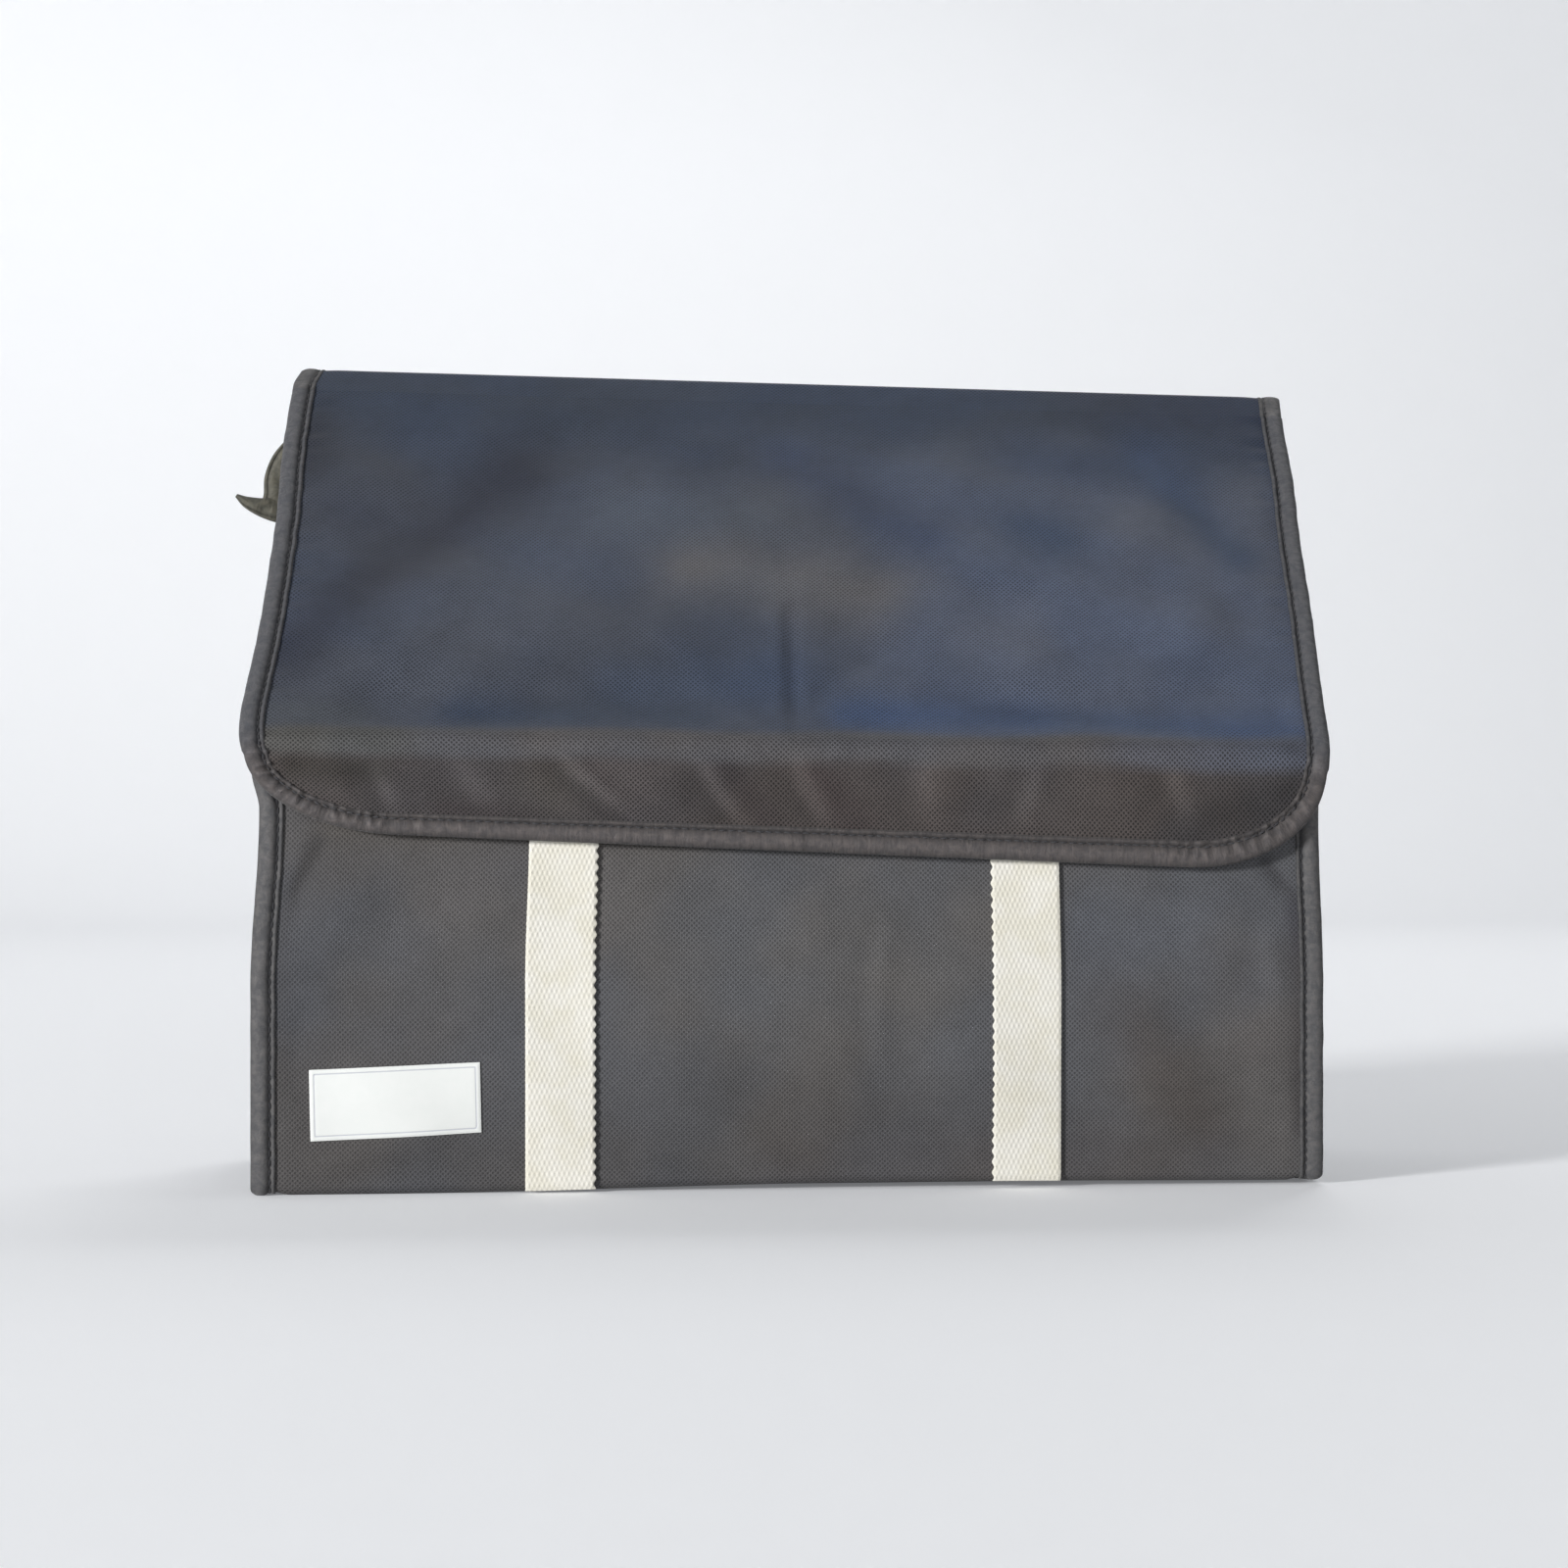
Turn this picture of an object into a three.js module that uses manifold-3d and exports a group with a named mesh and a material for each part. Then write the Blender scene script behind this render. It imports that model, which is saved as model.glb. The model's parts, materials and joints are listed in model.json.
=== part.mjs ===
// An insulated tote bag with a sloping flap lid, in millimetres.
// The bag stands on its base at z = 0 with its front towards -Y and its left side towards -X.
// The origin is the middle of the base. The flap hinges at the top of the back panel, slopes down
// to a fold just above the front panel, and ends in a lip that hangs over the front.

import * as THREE from 'three';
import { mergeVertices } from 'three/addons/utils/BufferGeometryUtils.js';
import Module from 'manifold-3d';

const wasm = await Module();
wasm.setup();

// Body of the bag
const bodyDepth = 140;              // outside of the front panel to outside of the back panel
const gussetSpan = 376;             // outside of the left gusset to outside of the right one
const bagHeight = 310;              // floor to the highest point of the closed flap
const foldHeight = 161.5;           // floor to the axis of the lip's fold

// The padded wall: outer fabric, foam and liner
const shellThickness = 0.8;
const foamThickness = 3;
const linerThickness = 0.4;
const boardThickness = 2;
const boardInset = 3;               // from the liner to the loose board in the base

// Binding tape over the raw edges
const tapeThickness = 0.4;
const tapeWidth = 9;
const boundDepth = 2.2;             // from a panel's outer face to the back of its side binding

// Webbing straps and the handles that they run into
const strapWidth = 25.4;
const strapThickness = 1.6;
const strapSpacing = 171;           // between the centre lines of a pair of straps
const handleReach = 140;            // from the pivot to the far side of a handle
const handleRoom = 0.75;            // free space on each side of the handle under the flap
const backHandleDrop = 48;          // from the bag's top to the back handle's pivot
const strapJogLength = 3;           // the strap climbs onto the rim's binding over this height

// Flap and lip
const flapOverhang = 3;             // past the side bindings of the front and back panels
const lipInset = 2;                 // from the flap's side to the lip's, at the fold
const lipLength = 37;
const lipCornerWidth = 52;
const lipCornerHeight = 33;
const hemTurn = 3;                  // the shell wraps the padding's end by this much at a fold
const lipTopGap = 0.6;              // the lip's side binding stops this far below the fold axis

// Hook and loop closure
const closureWidth = 100;
const closureHeight = 15;
const loopTapeThickness = 1.4;
const hookTapeThickness = 1.6;

// Label patch on the front panel
const labelWidth = 63;
const labelHeight = 26.5;
const labelThickness = 0.6;
const labelFromSide = 52;           // from the front panel's left edge to the label's centre
const labelFromFloor = 33.5;
const labelTiltDegrees = 2.5;

// The folded ear of the left rim binding
const earReach = 29;                // from the binding's outer face to the ear's tip
const earHeight = 31;
const earThickness = 3.5;
const earDrop = 24.5;               // from the rim down to the ear's foot
const earFromBack = 32;             // from the back panel's outside to the ear

// Clearances
const seatGap = 0.3;                // between pieces that rest on each other in a turned group
const overrun = 5;                  // how far a cutting shape runs past what it cuts

const curveSteps = 12;              // straight steps in a quarter turn
const foldSteps = 6;                // straight steps in a quarter turn of a small fold

// Values worked out from the sizes above
const wallThickness = shellThickness + foamThickness + linerThickness;
const frontY = -bodyDepth / 2;
const backY = bodyDepth / 2;
const gussetX = gussetSpan / 2;
const panelX = gussetX + tapeWidth;
const flangeEndX = panelX - tapeThickness;
const innerX = gussetX - wallThickness;
const strapX = strapSpacing / 2;
const flapWidth = 2 * (panelX + flapOverhang);
const lipWidth = flapWidth - 2 * lipInset;

// The flap's layers lie in a turned group, so two seat gaps part them
const flapHalf = (wallThickness + 2 * seatGap) / 2;
const flapBindingHalf = flapHalf + seatGap + tapeThickness;
const lipHalf = wallThickness / 2;
const lipOuterY = frontY - loopTapeThickness - seatGap - hookTapeThickness - wallThickness;
const foldY = lipOuterY + lipHalf;
const hingeY = backY - flapHalf;
const hingeZ = bagHeight - flapHalf;
const flapLength = Math.hypot(hingeY - foldY, hingeZ - foldHeight);
const slope = Math.atan2(hingeZ - foldHeight, hingeY - foldY);

// Height at depth y of a plane that lies a given distance square below the line from fold to hinge
function heightUnderFlap(y, below) {
  return foldHeight + (y - foldY) * Math.tan(slope) - below / Math.cos(slope);
}

const rimTapeFrontY = frontY - tapeThickness;
const frontRimZ = heightUnderFlap(rimTapeFrontY, flapHalf + strapThickness + 2 * handleRoom);
const gussetBelow = flapHalf + seatGap;
const innerFrontY = frontY + wallThickness;
const innerBackY = backY - wallThickness;
const backPivotZ = bagHeight - backHandleDrop;

// Geometry helpers
const coords = (points) => points.map(([a, b]) => new THREE.Vector2(a, b));

function extrude(outline, depth) {
  const shape = outline instanceof THREE.Shape ? outline : new THREE.Shape(coords(outline));
  return new THREE.ExtrudeGeometry(shape, { depth, bevelEnabled: false, curveSegments: curveSteps });
}

// An outline in (y, z), extruded across the bag from x0 to x1
function across(outline, x0, x1) {
  const turn = new THREE.Matrix4().makeBasis(
    new THREE.Vector3(0, 1, 0), new THREE.Vector3(0, 0, 1), new THREE.Vector3(1, 0, 0));
  return extrude(outline, x1 - x0).applyMatrix4(turn).translate(x0, 0, 0);
}

// An outline in (x, z), extruded from front to back from y0 to y1
function through(outline, y0, y1) {
  return extrude(outline, y1 - y0).rotateX(Math.PI / 2).translate(0, y1, 0);
}

// An outline in (x, y), extruded upwards from z0 to z1
function upwards(outline, z0, z1) {
  return extrude(outline, z1 - z0).translate(0, 0, z0);
}

function block(x0, x1, y0, y1, z0, z1) {
  return new THREE.BoxGeometry(x1 - x0, y1 - y0, z1 - z0)
    .translate((x0 + x1) / 2, (y0 + y1) / 2, (z0 + z1) / 2);
}

function toManifold(geometry) {
  const bare = geometry.clone();
  bare.deleteAttribute('normal');
  bare.deleteAttribute('uv');
  const merged = mergeVertices(bare);
  const triVerts = Uint32Array.from(merged.index.array);
  const vertProperties = Float32Array.from(merged.attributes.position.array);
  return new wasm.Manifold(new wasm.Mesh({ numProp: 3, vertProperties, triVerts }));
}

function fromManifold(manifold) {
  const mesh = manifold.getMesh();
  const geometry = new THREE.BufferGeometry();
  geometry.setAttribute('position', new THREE.BufferAttribute(Float32Array.from(mesh.vertProperties), 3));
  geometry.setIndex(new THREE.BufferAttribute(Uint32Array.from(mesh.triVerts), 1));
  geometry.computeVertexNormals();
  return geometry;
}

const cut = (body, ...tools) => fromManifold(
  tools.reduce((solid, tool) => solid.subtract(toManifold(tool)), toManifold(body)));
const join = (...bodies) => fromManifold(
  bodies.slice(1).reduce((solid, body) => solid.add(toManifold(body)), toManifold(bodies[0])));
const keep = (body, tool) => fromManifold(toManifold(body).intersect(toManifold(tool)));

// Materials
const finishes = {
  shell: { color: 0x55585f, roughness: 0.75 },
  foam: { color: 0xd9d9d4, roughness: 0.9 },
  liner: { color: 0xb9bcc0, roughness: 0.35, metalness: 0.6 },
  board: { color: 0x2b2c2e, roughness: 0.7 },
  binding: { color: 0x5d5d60, roughness: 0.8 },
  webbing: { color: 0xe3e1d7, roughness: 0.85 },
  closure: { color: 0x3c3d40, roughness: 0.95 },
  label: { color: 0xf3f6f2, roughness: 0.6 },
};

function piece(parent, name, finish, geometry) {
  const mesh = new THREE.Mesh(geometry, new THREE.MeshStandardMaterial(finishes[finish]));
  mesh.name = name;
  parent.add(mesh);
  return mesh;
}

const bag = new THREE.Group();
const sides = [['left', -1], ['right', 1]];

// Orders a pair of x values for the left or right side
const sidePair = (sign, near, far) => (sign > 0 ? [near, far] : [-far, -near]);

// Base: the shell's two side wings step up, so that the bound flanges clear the floor
function addBase() {
  const wingZ = tapeThickness;
  const floorZ = wingZ + shellThickness;
  const wingY = backY - boundDepth;
  const middleX = gussetX - tapeWidth;
  const middleY = backY - shellThickness;
  const section = [
    [-flangeEndX, wingZ], [-middleX, wingZ], [-middleX, 0], [middleX, 0], [middleX, wingZ],
    [flangeEndX, wingZ], [flangeEndX, floorZ], [-flangeEndX, floorZ],
  ];
  piece(bag, 'base_shell', 'shell', join(
    block(-middleX, middleX, -middleY, middleY, 0, floorZ), through(section, -wingY, wingY)));

  const foamTop = floorZ + foamThickness;
  const linerTop = foamTop + linerThickness;
  piece(bag, 'base_foam', 'foam',
    block(-innerX, innerX, innerFrontY, innerBackY, floorZ, foamTop));
  piece(bag, 'base_liner', 'liner',
    block(-innerX, innerX, innerFrontY, innerBackY, foamTop, linerTop));
  piece(bag, 'base_board', 'board', block(
    -innerX + boardInset, innerX - boardInset, innerFrontY + boardInset, innerBackY - boardInset,
    linerTop, linerTop + boardThickness));

  for (const [side, sign] of sides) {
    const [x0, x1] = sidePair(sign, gussetX, panelX);
    const [slot0, slot1] = sidePair(sign, gussetX - overrun, flangeEndX);
    const tape = block(x0, x1, -wingY, wingY, 0, floorZ + tapeThickness);
    const slot = block(slot0, slot1, -wingY - overrun, wingY + overrun, wingZ, floorZ);
    piece(bag, `base_binding_${side}`, 'binding', cut(tape, slot));
  }
  return floorZ;
}

// Front and back: a full-width shell whose bound edges stand out past the gussets, and the
// padding and liner between the gussets
function addEndPanel(name, outerY, inwards, floorZ, { shellTop, paddingTop, tapeTop }) {
  const layerY = (near, far) => [near, far].map((depth) => outerY + inwards * depth).sort((a, b) => a - b);
  const paddingX = innerX - tapeThickness - seatGap;
  const foamEnd = shellThickness + foamThickness;
  piece(bag, `${name}_shell`, 'shell',
    block(-flangeEndX, flangeEndX, ...layerY(0, shellThickness), 0, shellTop));
  piece(bag, `${name}_foam`, 'foam',
    block(-paddingX, paddingX, ...layerY(shellThickness, foamEnd), floorZ, paddingTop));
  piece(bag, `${name}_liner`, 'liner',
    block(-paddingX, paddingX, ...layerY(foamEnd, wallThickness), floorZ, paddingTop));

  for (const [side, sign] of sides) {
    const [x0, x1] = sidePair(sign, gussetX, panelX);
    const [slot0, slot1] = sidePair(sign, gussetX - overrun, flangeEndX);
    const tape = block(x0, x1, ...layerY(-tapeThickness, boundDepth), 0, tapeTop);
    const slot = block(slot0, slot1, ...layerY(0, shellThickness), -overrun, tapeTop + overrun);
    piece(bag, `${name}_binding_${side}`, 'binding', cut(tape, slot));
  }
}

// Gussets: three layers with a sloping top, and a binding along the rim
function addGussets(floorZ) {
  const below = gussetBelow + tapeThickness + seatGap;
  const rimOutline = (near, far, y0, y1) => [
    [y0, heightUnderFlap(y0, far)], [y1, heightUnderFlap(y1, far)],
    [y1, heightUnderFlap(y1, near)], [y0, heightUnderFlap(y0, near)],
  ];
  const panelY = backY - shellThickness;
  const rimY = backY - boundDepth;
  const panel = [
    [-panelY, floorZ], [panelY, floorZ],
    [panelY, heightUnderFlap(panelY, below)], [-panelY, heightUnderFlap(-panelY, below)],
  ];
  const layers = [['shell', 0, shellThickness], ['foam', shellThickness, shellThickness + foamThickness],
    ['liner', shellThickness + foamThickness, wallThickness]];

  for (const [side, sign] of sides) {
    for (const [layer, near, far] of layers) {
      const [x0, x1] = sidePair(sign, gussetX - far, gussetX - near);
      piece(bag, `${side}_gusset_${layer}`, layer, across(panel, x0, x1));
    }
    const [tape0, tape1] = sidePair(sign, innerX - tapeThickness, gussetX + tapeThickness);
    const [slot0, slot1] = sidePair(sign, innerX, gussetX);
    const rim = across(rimOutline(gussetBelow, gussetBelow + tapeWidth, -rimY, rimY), tape0, tape1);
    const slot = across(rimOutline(gussetBelow + tapeThickness, gussetBelow + tapeWidth + overrun,
      -rimY - overrun, rimY + overrun), slot0, slot1);
    const binding = cut(rim, slot);
    piece(bag, `${side}_rim_binding`, 'binding', sign < 0 ? join(binding, earSolid()) : binding);
  }
}

// The ear: the rim binding's loose end, pushed out sideways under the flap's edge.
// Each point is a share of the ear's reach and of its height.
function earSolid() {
  const earShares = [
    [-0.01, 0], [0.42, 0.09], [0.71, 0.21], [0.96, 0.38], [1, 0.46], [0.9, 0.5], [0.66, 0.49],
    [0.56, 0.56], [0.49, 0.75], [0.43, 1], [0.42, 0.7], [-0.01, 0.62],
  ];
  const rootX = -gussetX - tapeThickness;
  const y = backY - earFromBack;
  const footZ = heightUnderFlap(y, gussetBelow) - earDrop;
  const outline = earShares.map(([u, v]) => [rootX - u * earReach, footZ + v * earHeight]);
  return through(outline, y - earThickness / 2, y + earThickness / 2);
}

// Binding on the front panel's rim, between the gussets
function addFrontRim() {
  const halfX = innerX - tapeThickness - seatGap;
  const tape = block(-halfX, halfX, rimTapeFrontY, innerFrontY + tapeThickness,
    frontRimZ - tapeWidth, frontRimZ);
  const slot = block(-halfX - overrun, halfX + overrun, frontY, innerFrontY,
    frontRimZ - tapeWidth - overrun, frontRimZ - tapeThickness);
  piece(bag, 'front_rim_binding', 'binding', cut(tape, slot));
}

// A front strap steps outwards where it crosses the rim's binding. A back strap is straight.
const strapJog = tapeThickness + seatGap;
const strapTopY = frontY - strapJog - strapThickness / 2;
const frontPivotZ = heightUnderFlap(strapTopY, flapHalf + handleRoom + strapThickness / 2);

function addStraps() {
  const top = frontPivotZ - strapThickness / 2 - seatGap;
  const jogTop = frontRimZ - tapeWidth - seatGap;
  const outerY = frontY - strapThickness;
  const profile = [
    [outerY, 0], [frontY, 0], [frontY, jogTop - strapJogLength], [frontY - strapJog, jogTop],
    [frontY - strapJog, top], [outerY - strapJog, top], [outerY - strapJog, jogTop],
    [outerY, jogTop - strapJogLength],
  ];
  for (const [side, sign] of sides) {
    const x0 = sign * strapX - strapWidth / 2;
    piece(bag, `front_strap_${side}`, 'webbing', across(profile, x0, x0 + strapWidth));
    piece(bag, `back_strap_${side}`, 'webbing',
      block(x0, x0 + strapWidth, backY, backY + strapThickness, 0, backPivotZ));
  }
}

// A handle: flat webbing in a U, with its legs' ends on the x axis and its reach along y
function handleOutline() {
  const outer = strapX + strapWidth / 2;
  const inner = strapX - strapWidth / 2;
  const straight = handleReach - outer;
  const shape = new THREE.Shape();
  shape.moveTo(-outer, 0);
  shape.lineTo(-outer, straight);
  shape.absarc(0, straight, outer, Math.PI, 0, true);
  shape.lineTo(outer, 0);
  shape.lineTo(inner, 0);
  shape.lineTo(inner, straight);
  shape.absarc(0, straight, inner, 0, Math.PI, false);
  shape.lineTo(-inner, 0);
  shape.closePath();
  return shape;
}

function addHandle(name, y, z, tilt) {
  const group = new THREE.Group();
  group.position.set(0, y, z);
  group.rotation.x = tilt;
  bag.add(group);
  piece(group, name, 'webbing', upwards(handleOutline(), -strapThickness / 2, strapThickness / 2));
}

// The flap, in a group whose y axis runs up the slope from the fold and whose z axis points out
function addFlap() {
  const flap = new THREE.Group();
  flap.position.set(0, foldY, foldHeight);
  flap.rotation.x = slope;
  bag.add(flap);

  const start = lipHalf + seatGap;
  const halfX = flapWidth / 2 - tapeThickness - seatGap;
  const padEnd = flapLength - hemTurn - seatGap;
  const shellInner = flapHalf - shellThickness;
  const roll = [];
  for (let i = 0; i <= 2 * foldSteps; i += 1) {
    const angle = Math.PI / 2 - (i * Math.PI) / (2 * foldSteps);
    roll.push([flapLength + flapHalf * Math.cos(angle), flapHalf * Math.sin(angle)]);
  }
  const profile = [
    [start, flapHalf], ...roll, [flapLength - hemTurn, -flapHalf],
    [flapLength - hemTurn, shellInner], [start, shellInner],
  ];
  piece(flap, 'flap_shell', 'shell', across(profile, -halfX, halfX));
  const foamTop = shellInner - seatGap;
  piece(flap, 'flap_foam', 'foam',
    block(-halfX, halfX, start, padEnd, foamTop - foamThickness, foamTop));
  piece(flap, 'flap_liner', 'liner',
    block(-halfX, halfX, start, padEnd, -flapHalf, -flapHalf + linerThickness));

  for (const [side, sign] of sides) {
    const [x0, x1] = sidePair(sign, flapWidth / 2 - tapeWidth, flapWidth / 2);
    const [slot0, slot1] = sidePair(sign, flapWidth / 2 - tapeWidth - overrun,
      flapWidth / 2 - tapeThickness);
    const slotHalf = flapHalf + seatGap;
    const tape = block(x0, x1, start, flapLength - hemTurn, -flapBindingHalf, flapBindingHalf);
    const slot = block(slot0, slot1, start - overrun, flapLength + overrun, -slotHalf, slotHalf);
    piece(flap, `flap_binding_${side}`, 'binding', cut(tape, slot));
  }
}

// The lip's outline in (x, z), drawn in by a margin, with its straight sides run up to a height
function lipOutline(margin, top) {
  const shape = new THREE.Shape();
  const side = lipWidth / 2 - margin;
  const cornerX = lipWidth / 2 - lipCornerWidth;
  const cornerZ = foldHeight - lipLength + lipCornerHeight;
  const radiusX = lipCornerWidth - margin;
  const radiusZ = lipCornerHeight - margin;
  shape.moveTo(-side, top);
  shape.lineTo(-side, cornerZ);
  shape.absellipse(-cornerX, cornerZ, radiusX, radiusZ, Math.PI, 1.5 * Math.PI, false, 0);
  shape.lineTo(cornerX, cornerZ - radiusZ);
  shape.absellipse(cornerX, cornerZ, radiusX, radiusZ, 1.5 * Math.PI, 2 * Math.PI, false, 0);
  shape.lineTo(side, top);
  shape.closePath();
  return shape;
}

// The lip hangs straight down from the fold. Its shell wraps the padding at the fold.
function addLip() {
  const shellBack = lipOuterY + shellThickness;
  const foamBack = shellBack + foamThickness;
  const linerBack = foamBack + linerThickness;
  const edge = tapeThickness + seatGap;
  const hemX = lipWidth / 2 - tapeWidth - seatGap;
  const hemZ = foldHeight - hemTurn;
  const tapeTop = foldHeight - lipTopGap;

  const roll = [];
  for (let i = 0; i <= 2 * foldSteps; i += 1) {
    const angle = Math.PI - (i * Math.PI) / (2 * foldSteps);
    roll.push([foldY + lipHalf * Math.cos(angle), foldHeight + lipHalf * Math.sin(angle)]);
  }
  const hem = across([[lipOuterY, hemZ], [linerBack, hemZ], ...roll.reverse()], -hemX, hemX);
  piece(bag, 'lip_shell', 'shell',
    join(through(lipOutline(edge, tapeTop), lipOuterY, shellBack), hem));

  const padding = block(-flapWidth, flapWidth, lipOuterY - overrun, linerBack + overrun, 0, hemZ - seatGap);
  const layer = (y0, y1) => keep(through(lipOutline(edge, foldHeight), y0, y1), padding);
  piece(bag, 'lip_foam', 'foam', layer(shellBack, foamBack));
  piece(bag, 'lip_liner', 'liner', layer(foamBack, linerBack));

  const aboveTop = foldHeight + overrun;
  const tape = through(lipOutline(0, tapeTop), lipOuterY - tapeThickness, linerBack + tapeThickness);
  const slot = through(lipOutline(tapeThickness, aboveTop), lipOuterY, linerBack);
  const window = through(lipOutline(tapeWidth, aboveTop), lipOuterY - overrun, linerBack + overrun);
  piece(bag, 'lip_binding', 'binding', cut(tape, slot, window));

  const closureBottom = foldHeight - lipLength + tapeWidth + seatGap;
  const closureTop = closureBottom + closureHeight;
  piece(bag, 'hook_tape', 'closure', block(-closureWidth / 2, closureWidth / 2,
    linerBack, linerBack + hookTapeThickness, closureBottom, closureTop));
  piece(bag, 'loop_tape', 'closure', block(-closureWidth / 2, closureWidth / 2,
    frontY - loopTapeThickness, frontY, closureBottom, closureTop));
}

// The label patch lies flat on the front panel, a little crooked
function addLabel() {
  const label = new THREE.Group();
  label.position.set(labelFromSide - panelX, frontY - labelThickness / 2, labelFromFloor);
  label.rotation.y = -THREE.MathUtils.degToRad(labelTiltDegrees);
  bag.add(label);
  piece(label, 'label_patch', 'label', new THREE.BoxGeometry(labelWidth, labelThickness, labelHeight));
}

// The panels' tops: the front's lie inside the rim's binding, and the back's stay clear of the flap
const frontTop = frontRimZ - tapeThickness;
const frontTops = { shellTop: frontTop, paddingTop: frontTop, tapeTop: frontTop };
const rollClear = Math.sqrt((flapHalf + seatGap) ** 2 - (flapHalf - shellThickness) ** 2);
const backTops = {
  shellTop: hingeZ - rollClear,
  paddingTop: heightUnderFlap(innerBackY, gussetBelow),
  tapeTop: heightUnderFlap(backY - boundDepth, flapBindingHalf + seatGap),
};

const floorZ = addBase();
addEndPanel('front', frontY, 1, floorZ, frontTops);
addEndPanel('back', backY, -1, floorZ, backTops);
addGussets(floorZ);
addFrontRim();
addStraps();
addHandle('front_handle', strapTopY, frontPivotZ, slope);
addHandle('back_handle', backY + strapThickness + seatGap + strapThickness / 2, backPivotZ, -Math.PI / 2);
addFlap();
addLip();
addLabel();

export default bag;
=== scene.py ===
# The looks of an insulated tote bag with a sloping flap lid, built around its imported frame.
# Sizes are in millimetres until a mesh is made. Each sheet of the bag is a function that gives the
# place of a point at a distance across, a distance along and a height off the sheet, and the tapes,
# seams, straps and labels that lie on a sheet take their places from the same function.

import json
import math

import bpy
import numpy as np
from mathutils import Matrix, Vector


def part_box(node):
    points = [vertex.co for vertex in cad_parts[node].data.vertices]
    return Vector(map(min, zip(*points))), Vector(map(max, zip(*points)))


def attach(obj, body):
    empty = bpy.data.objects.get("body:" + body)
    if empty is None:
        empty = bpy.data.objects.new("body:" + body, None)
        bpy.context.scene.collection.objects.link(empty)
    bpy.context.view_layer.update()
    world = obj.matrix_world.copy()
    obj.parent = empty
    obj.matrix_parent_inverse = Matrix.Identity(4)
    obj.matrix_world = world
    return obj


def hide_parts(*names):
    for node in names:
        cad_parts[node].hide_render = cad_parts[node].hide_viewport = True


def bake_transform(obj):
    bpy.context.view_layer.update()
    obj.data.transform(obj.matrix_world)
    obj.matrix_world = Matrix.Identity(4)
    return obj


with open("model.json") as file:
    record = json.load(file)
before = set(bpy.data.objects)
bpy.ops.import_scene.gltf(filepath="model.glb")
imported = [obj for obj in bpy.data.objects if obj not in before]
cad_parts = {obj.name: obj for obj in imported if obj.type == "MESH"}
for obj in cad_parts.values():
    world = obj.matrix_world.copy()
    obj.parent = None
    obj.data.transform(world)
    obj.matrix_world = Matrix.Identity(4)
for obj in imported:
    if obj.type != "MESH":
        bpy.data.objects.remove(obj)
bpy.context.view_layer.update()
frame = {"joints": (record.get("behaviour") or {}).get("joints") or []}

MM = 0.001
X, Y, Z = 0, 1, 2
SMOOTH_ANGLE = math.radians(48)


def low(node, axis):
    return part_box(node)[0][axis] / MM


def high(node, axis):
    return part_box(node)[1][axis] / MM


def extent(node, axis):
    return high(node, axis) - low(node, axis)


def pivot(name):
    """Depth and height of a joint."""
    return [v / MM for joint in frame["joints"] if joint["name"] == name for v in joint["pos_m"][1:]]


# Sizes of the frame
hinge_y, hinge_z = pivot("flap_hinge")
fold_y, fold_z = pivot("lip_fold")
grip_y, grip_z = pivot("front_handle_swing")
back_grip_y, back_grip_z = pivot("back_handle_swing")
front_y = low("front_shell", Y)
back_y = high("back_shell", Y)
panel_x = high("front_binding_right", X)
gusset_x = high("right_gusset_shell", X)
padding_x = high("front_foam", X)
rim_z = high("front_shell", Z)
flap_x = high("flap_binding_right", X)
lip_x = high("lip_binding", X)
lip_y = low("lip_shell", Y)
lip_low_z = low("lip_binding", Z)
bag_top = high("flap_shell", Z)
shell = extent("front_shell", Y)
foam = extent("front_foam", Y)
liner = extent("front_liner", Y)
wall = shell + foam + liner
foil_extra = 0.25          # the lining's inner face lies this much deeper than the frame's
tape_width = panel_x - gusset_x
strap_width = extent("front_strap_right", X)
strap_x = high("front_strap_right", X) - strap_width / 2
strap_thickness = high("back_strap_right", Y) - back_y
handle_arc = strap_x
slope = math.atan2(hinge_z - fold_z, hinge_y - fold_y)
slope_cos = math.cos(slope)
slope_sin = math.sin(slope)
flap_half = bag_top - hinge_z
handle_reach = (high("front_handle", Y) - grip_y) / slope_cos

# Softness that the frame leaves out
bottom_radius = 3.5        # bend of the shell at the bottom edges
fold_radius = 8.5          # bend of the padded lid at its fold
roll_radius = 3.0          # bend of the lid at the top back edge
lip_taper = math.radians(2.0)
lean_right = 13.8          # the bag's top back edge leans this far to its right
drop_right = 2.5           # and its right side stands this much lower than the middle
corner_in = 2.4            # the upper left corner is pulled in by this much
top_tilt = 1.3             # the top back edge slopes this much more
top_rise = 1.7             # and stands this much higher
lip_drop_right = 6.6       # the lip hangs lower at its right corner
widen = 1.15               # the filled body stands this much wider at each side
waist_left = 3.2           # the front panel draws in by this much at each side under the lid
waist_right = 1.9
waist_back_out = 2.8       # and at the left comes out again under the lip
heel_lift = 2.4            # the front's bottom edge stands off the floor towards its right
tape_depth = 2 * shell     # the two sheets held in a side seam
seam_inset = 2.1           # from a tape's inner edge to its stitches
pinch_depth = 1.9          # the lid's wall is pressed thinner by this much in its tape
edge_inset = 0.5           # the sheets end this far inside their tapes' edge


def smooth(value, start, end):
    """0 before start, 1 after end and a smooth climb between them."""
    share = np.clip((value - start) / (end - start), 0.0, 1.0)
    return share * share * (3.0 - 2.0 * share)


def hump(value, middle, spread):
    return np.exp(-(((value - middle) / spread) ** 2))


def ripple(a, b, length, seed, waves=9):
    """Irregular soft relief of about unit height over two distances."""
    draw = np.random.RandomState(seed)
    total = 0.0
    for _ in range(waves):
        turn, phase = draw.uniform(0, 2 * math.pi, 2)
        pitch = length * draw.uniform(0.6, 1.5)
        total = total + np.sin(2 * math.pi * (a * math.cos(turn) + b * math.sin(turn)) / pitch + phase)
    return total / math.sqrt(waves / 2)


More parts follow.
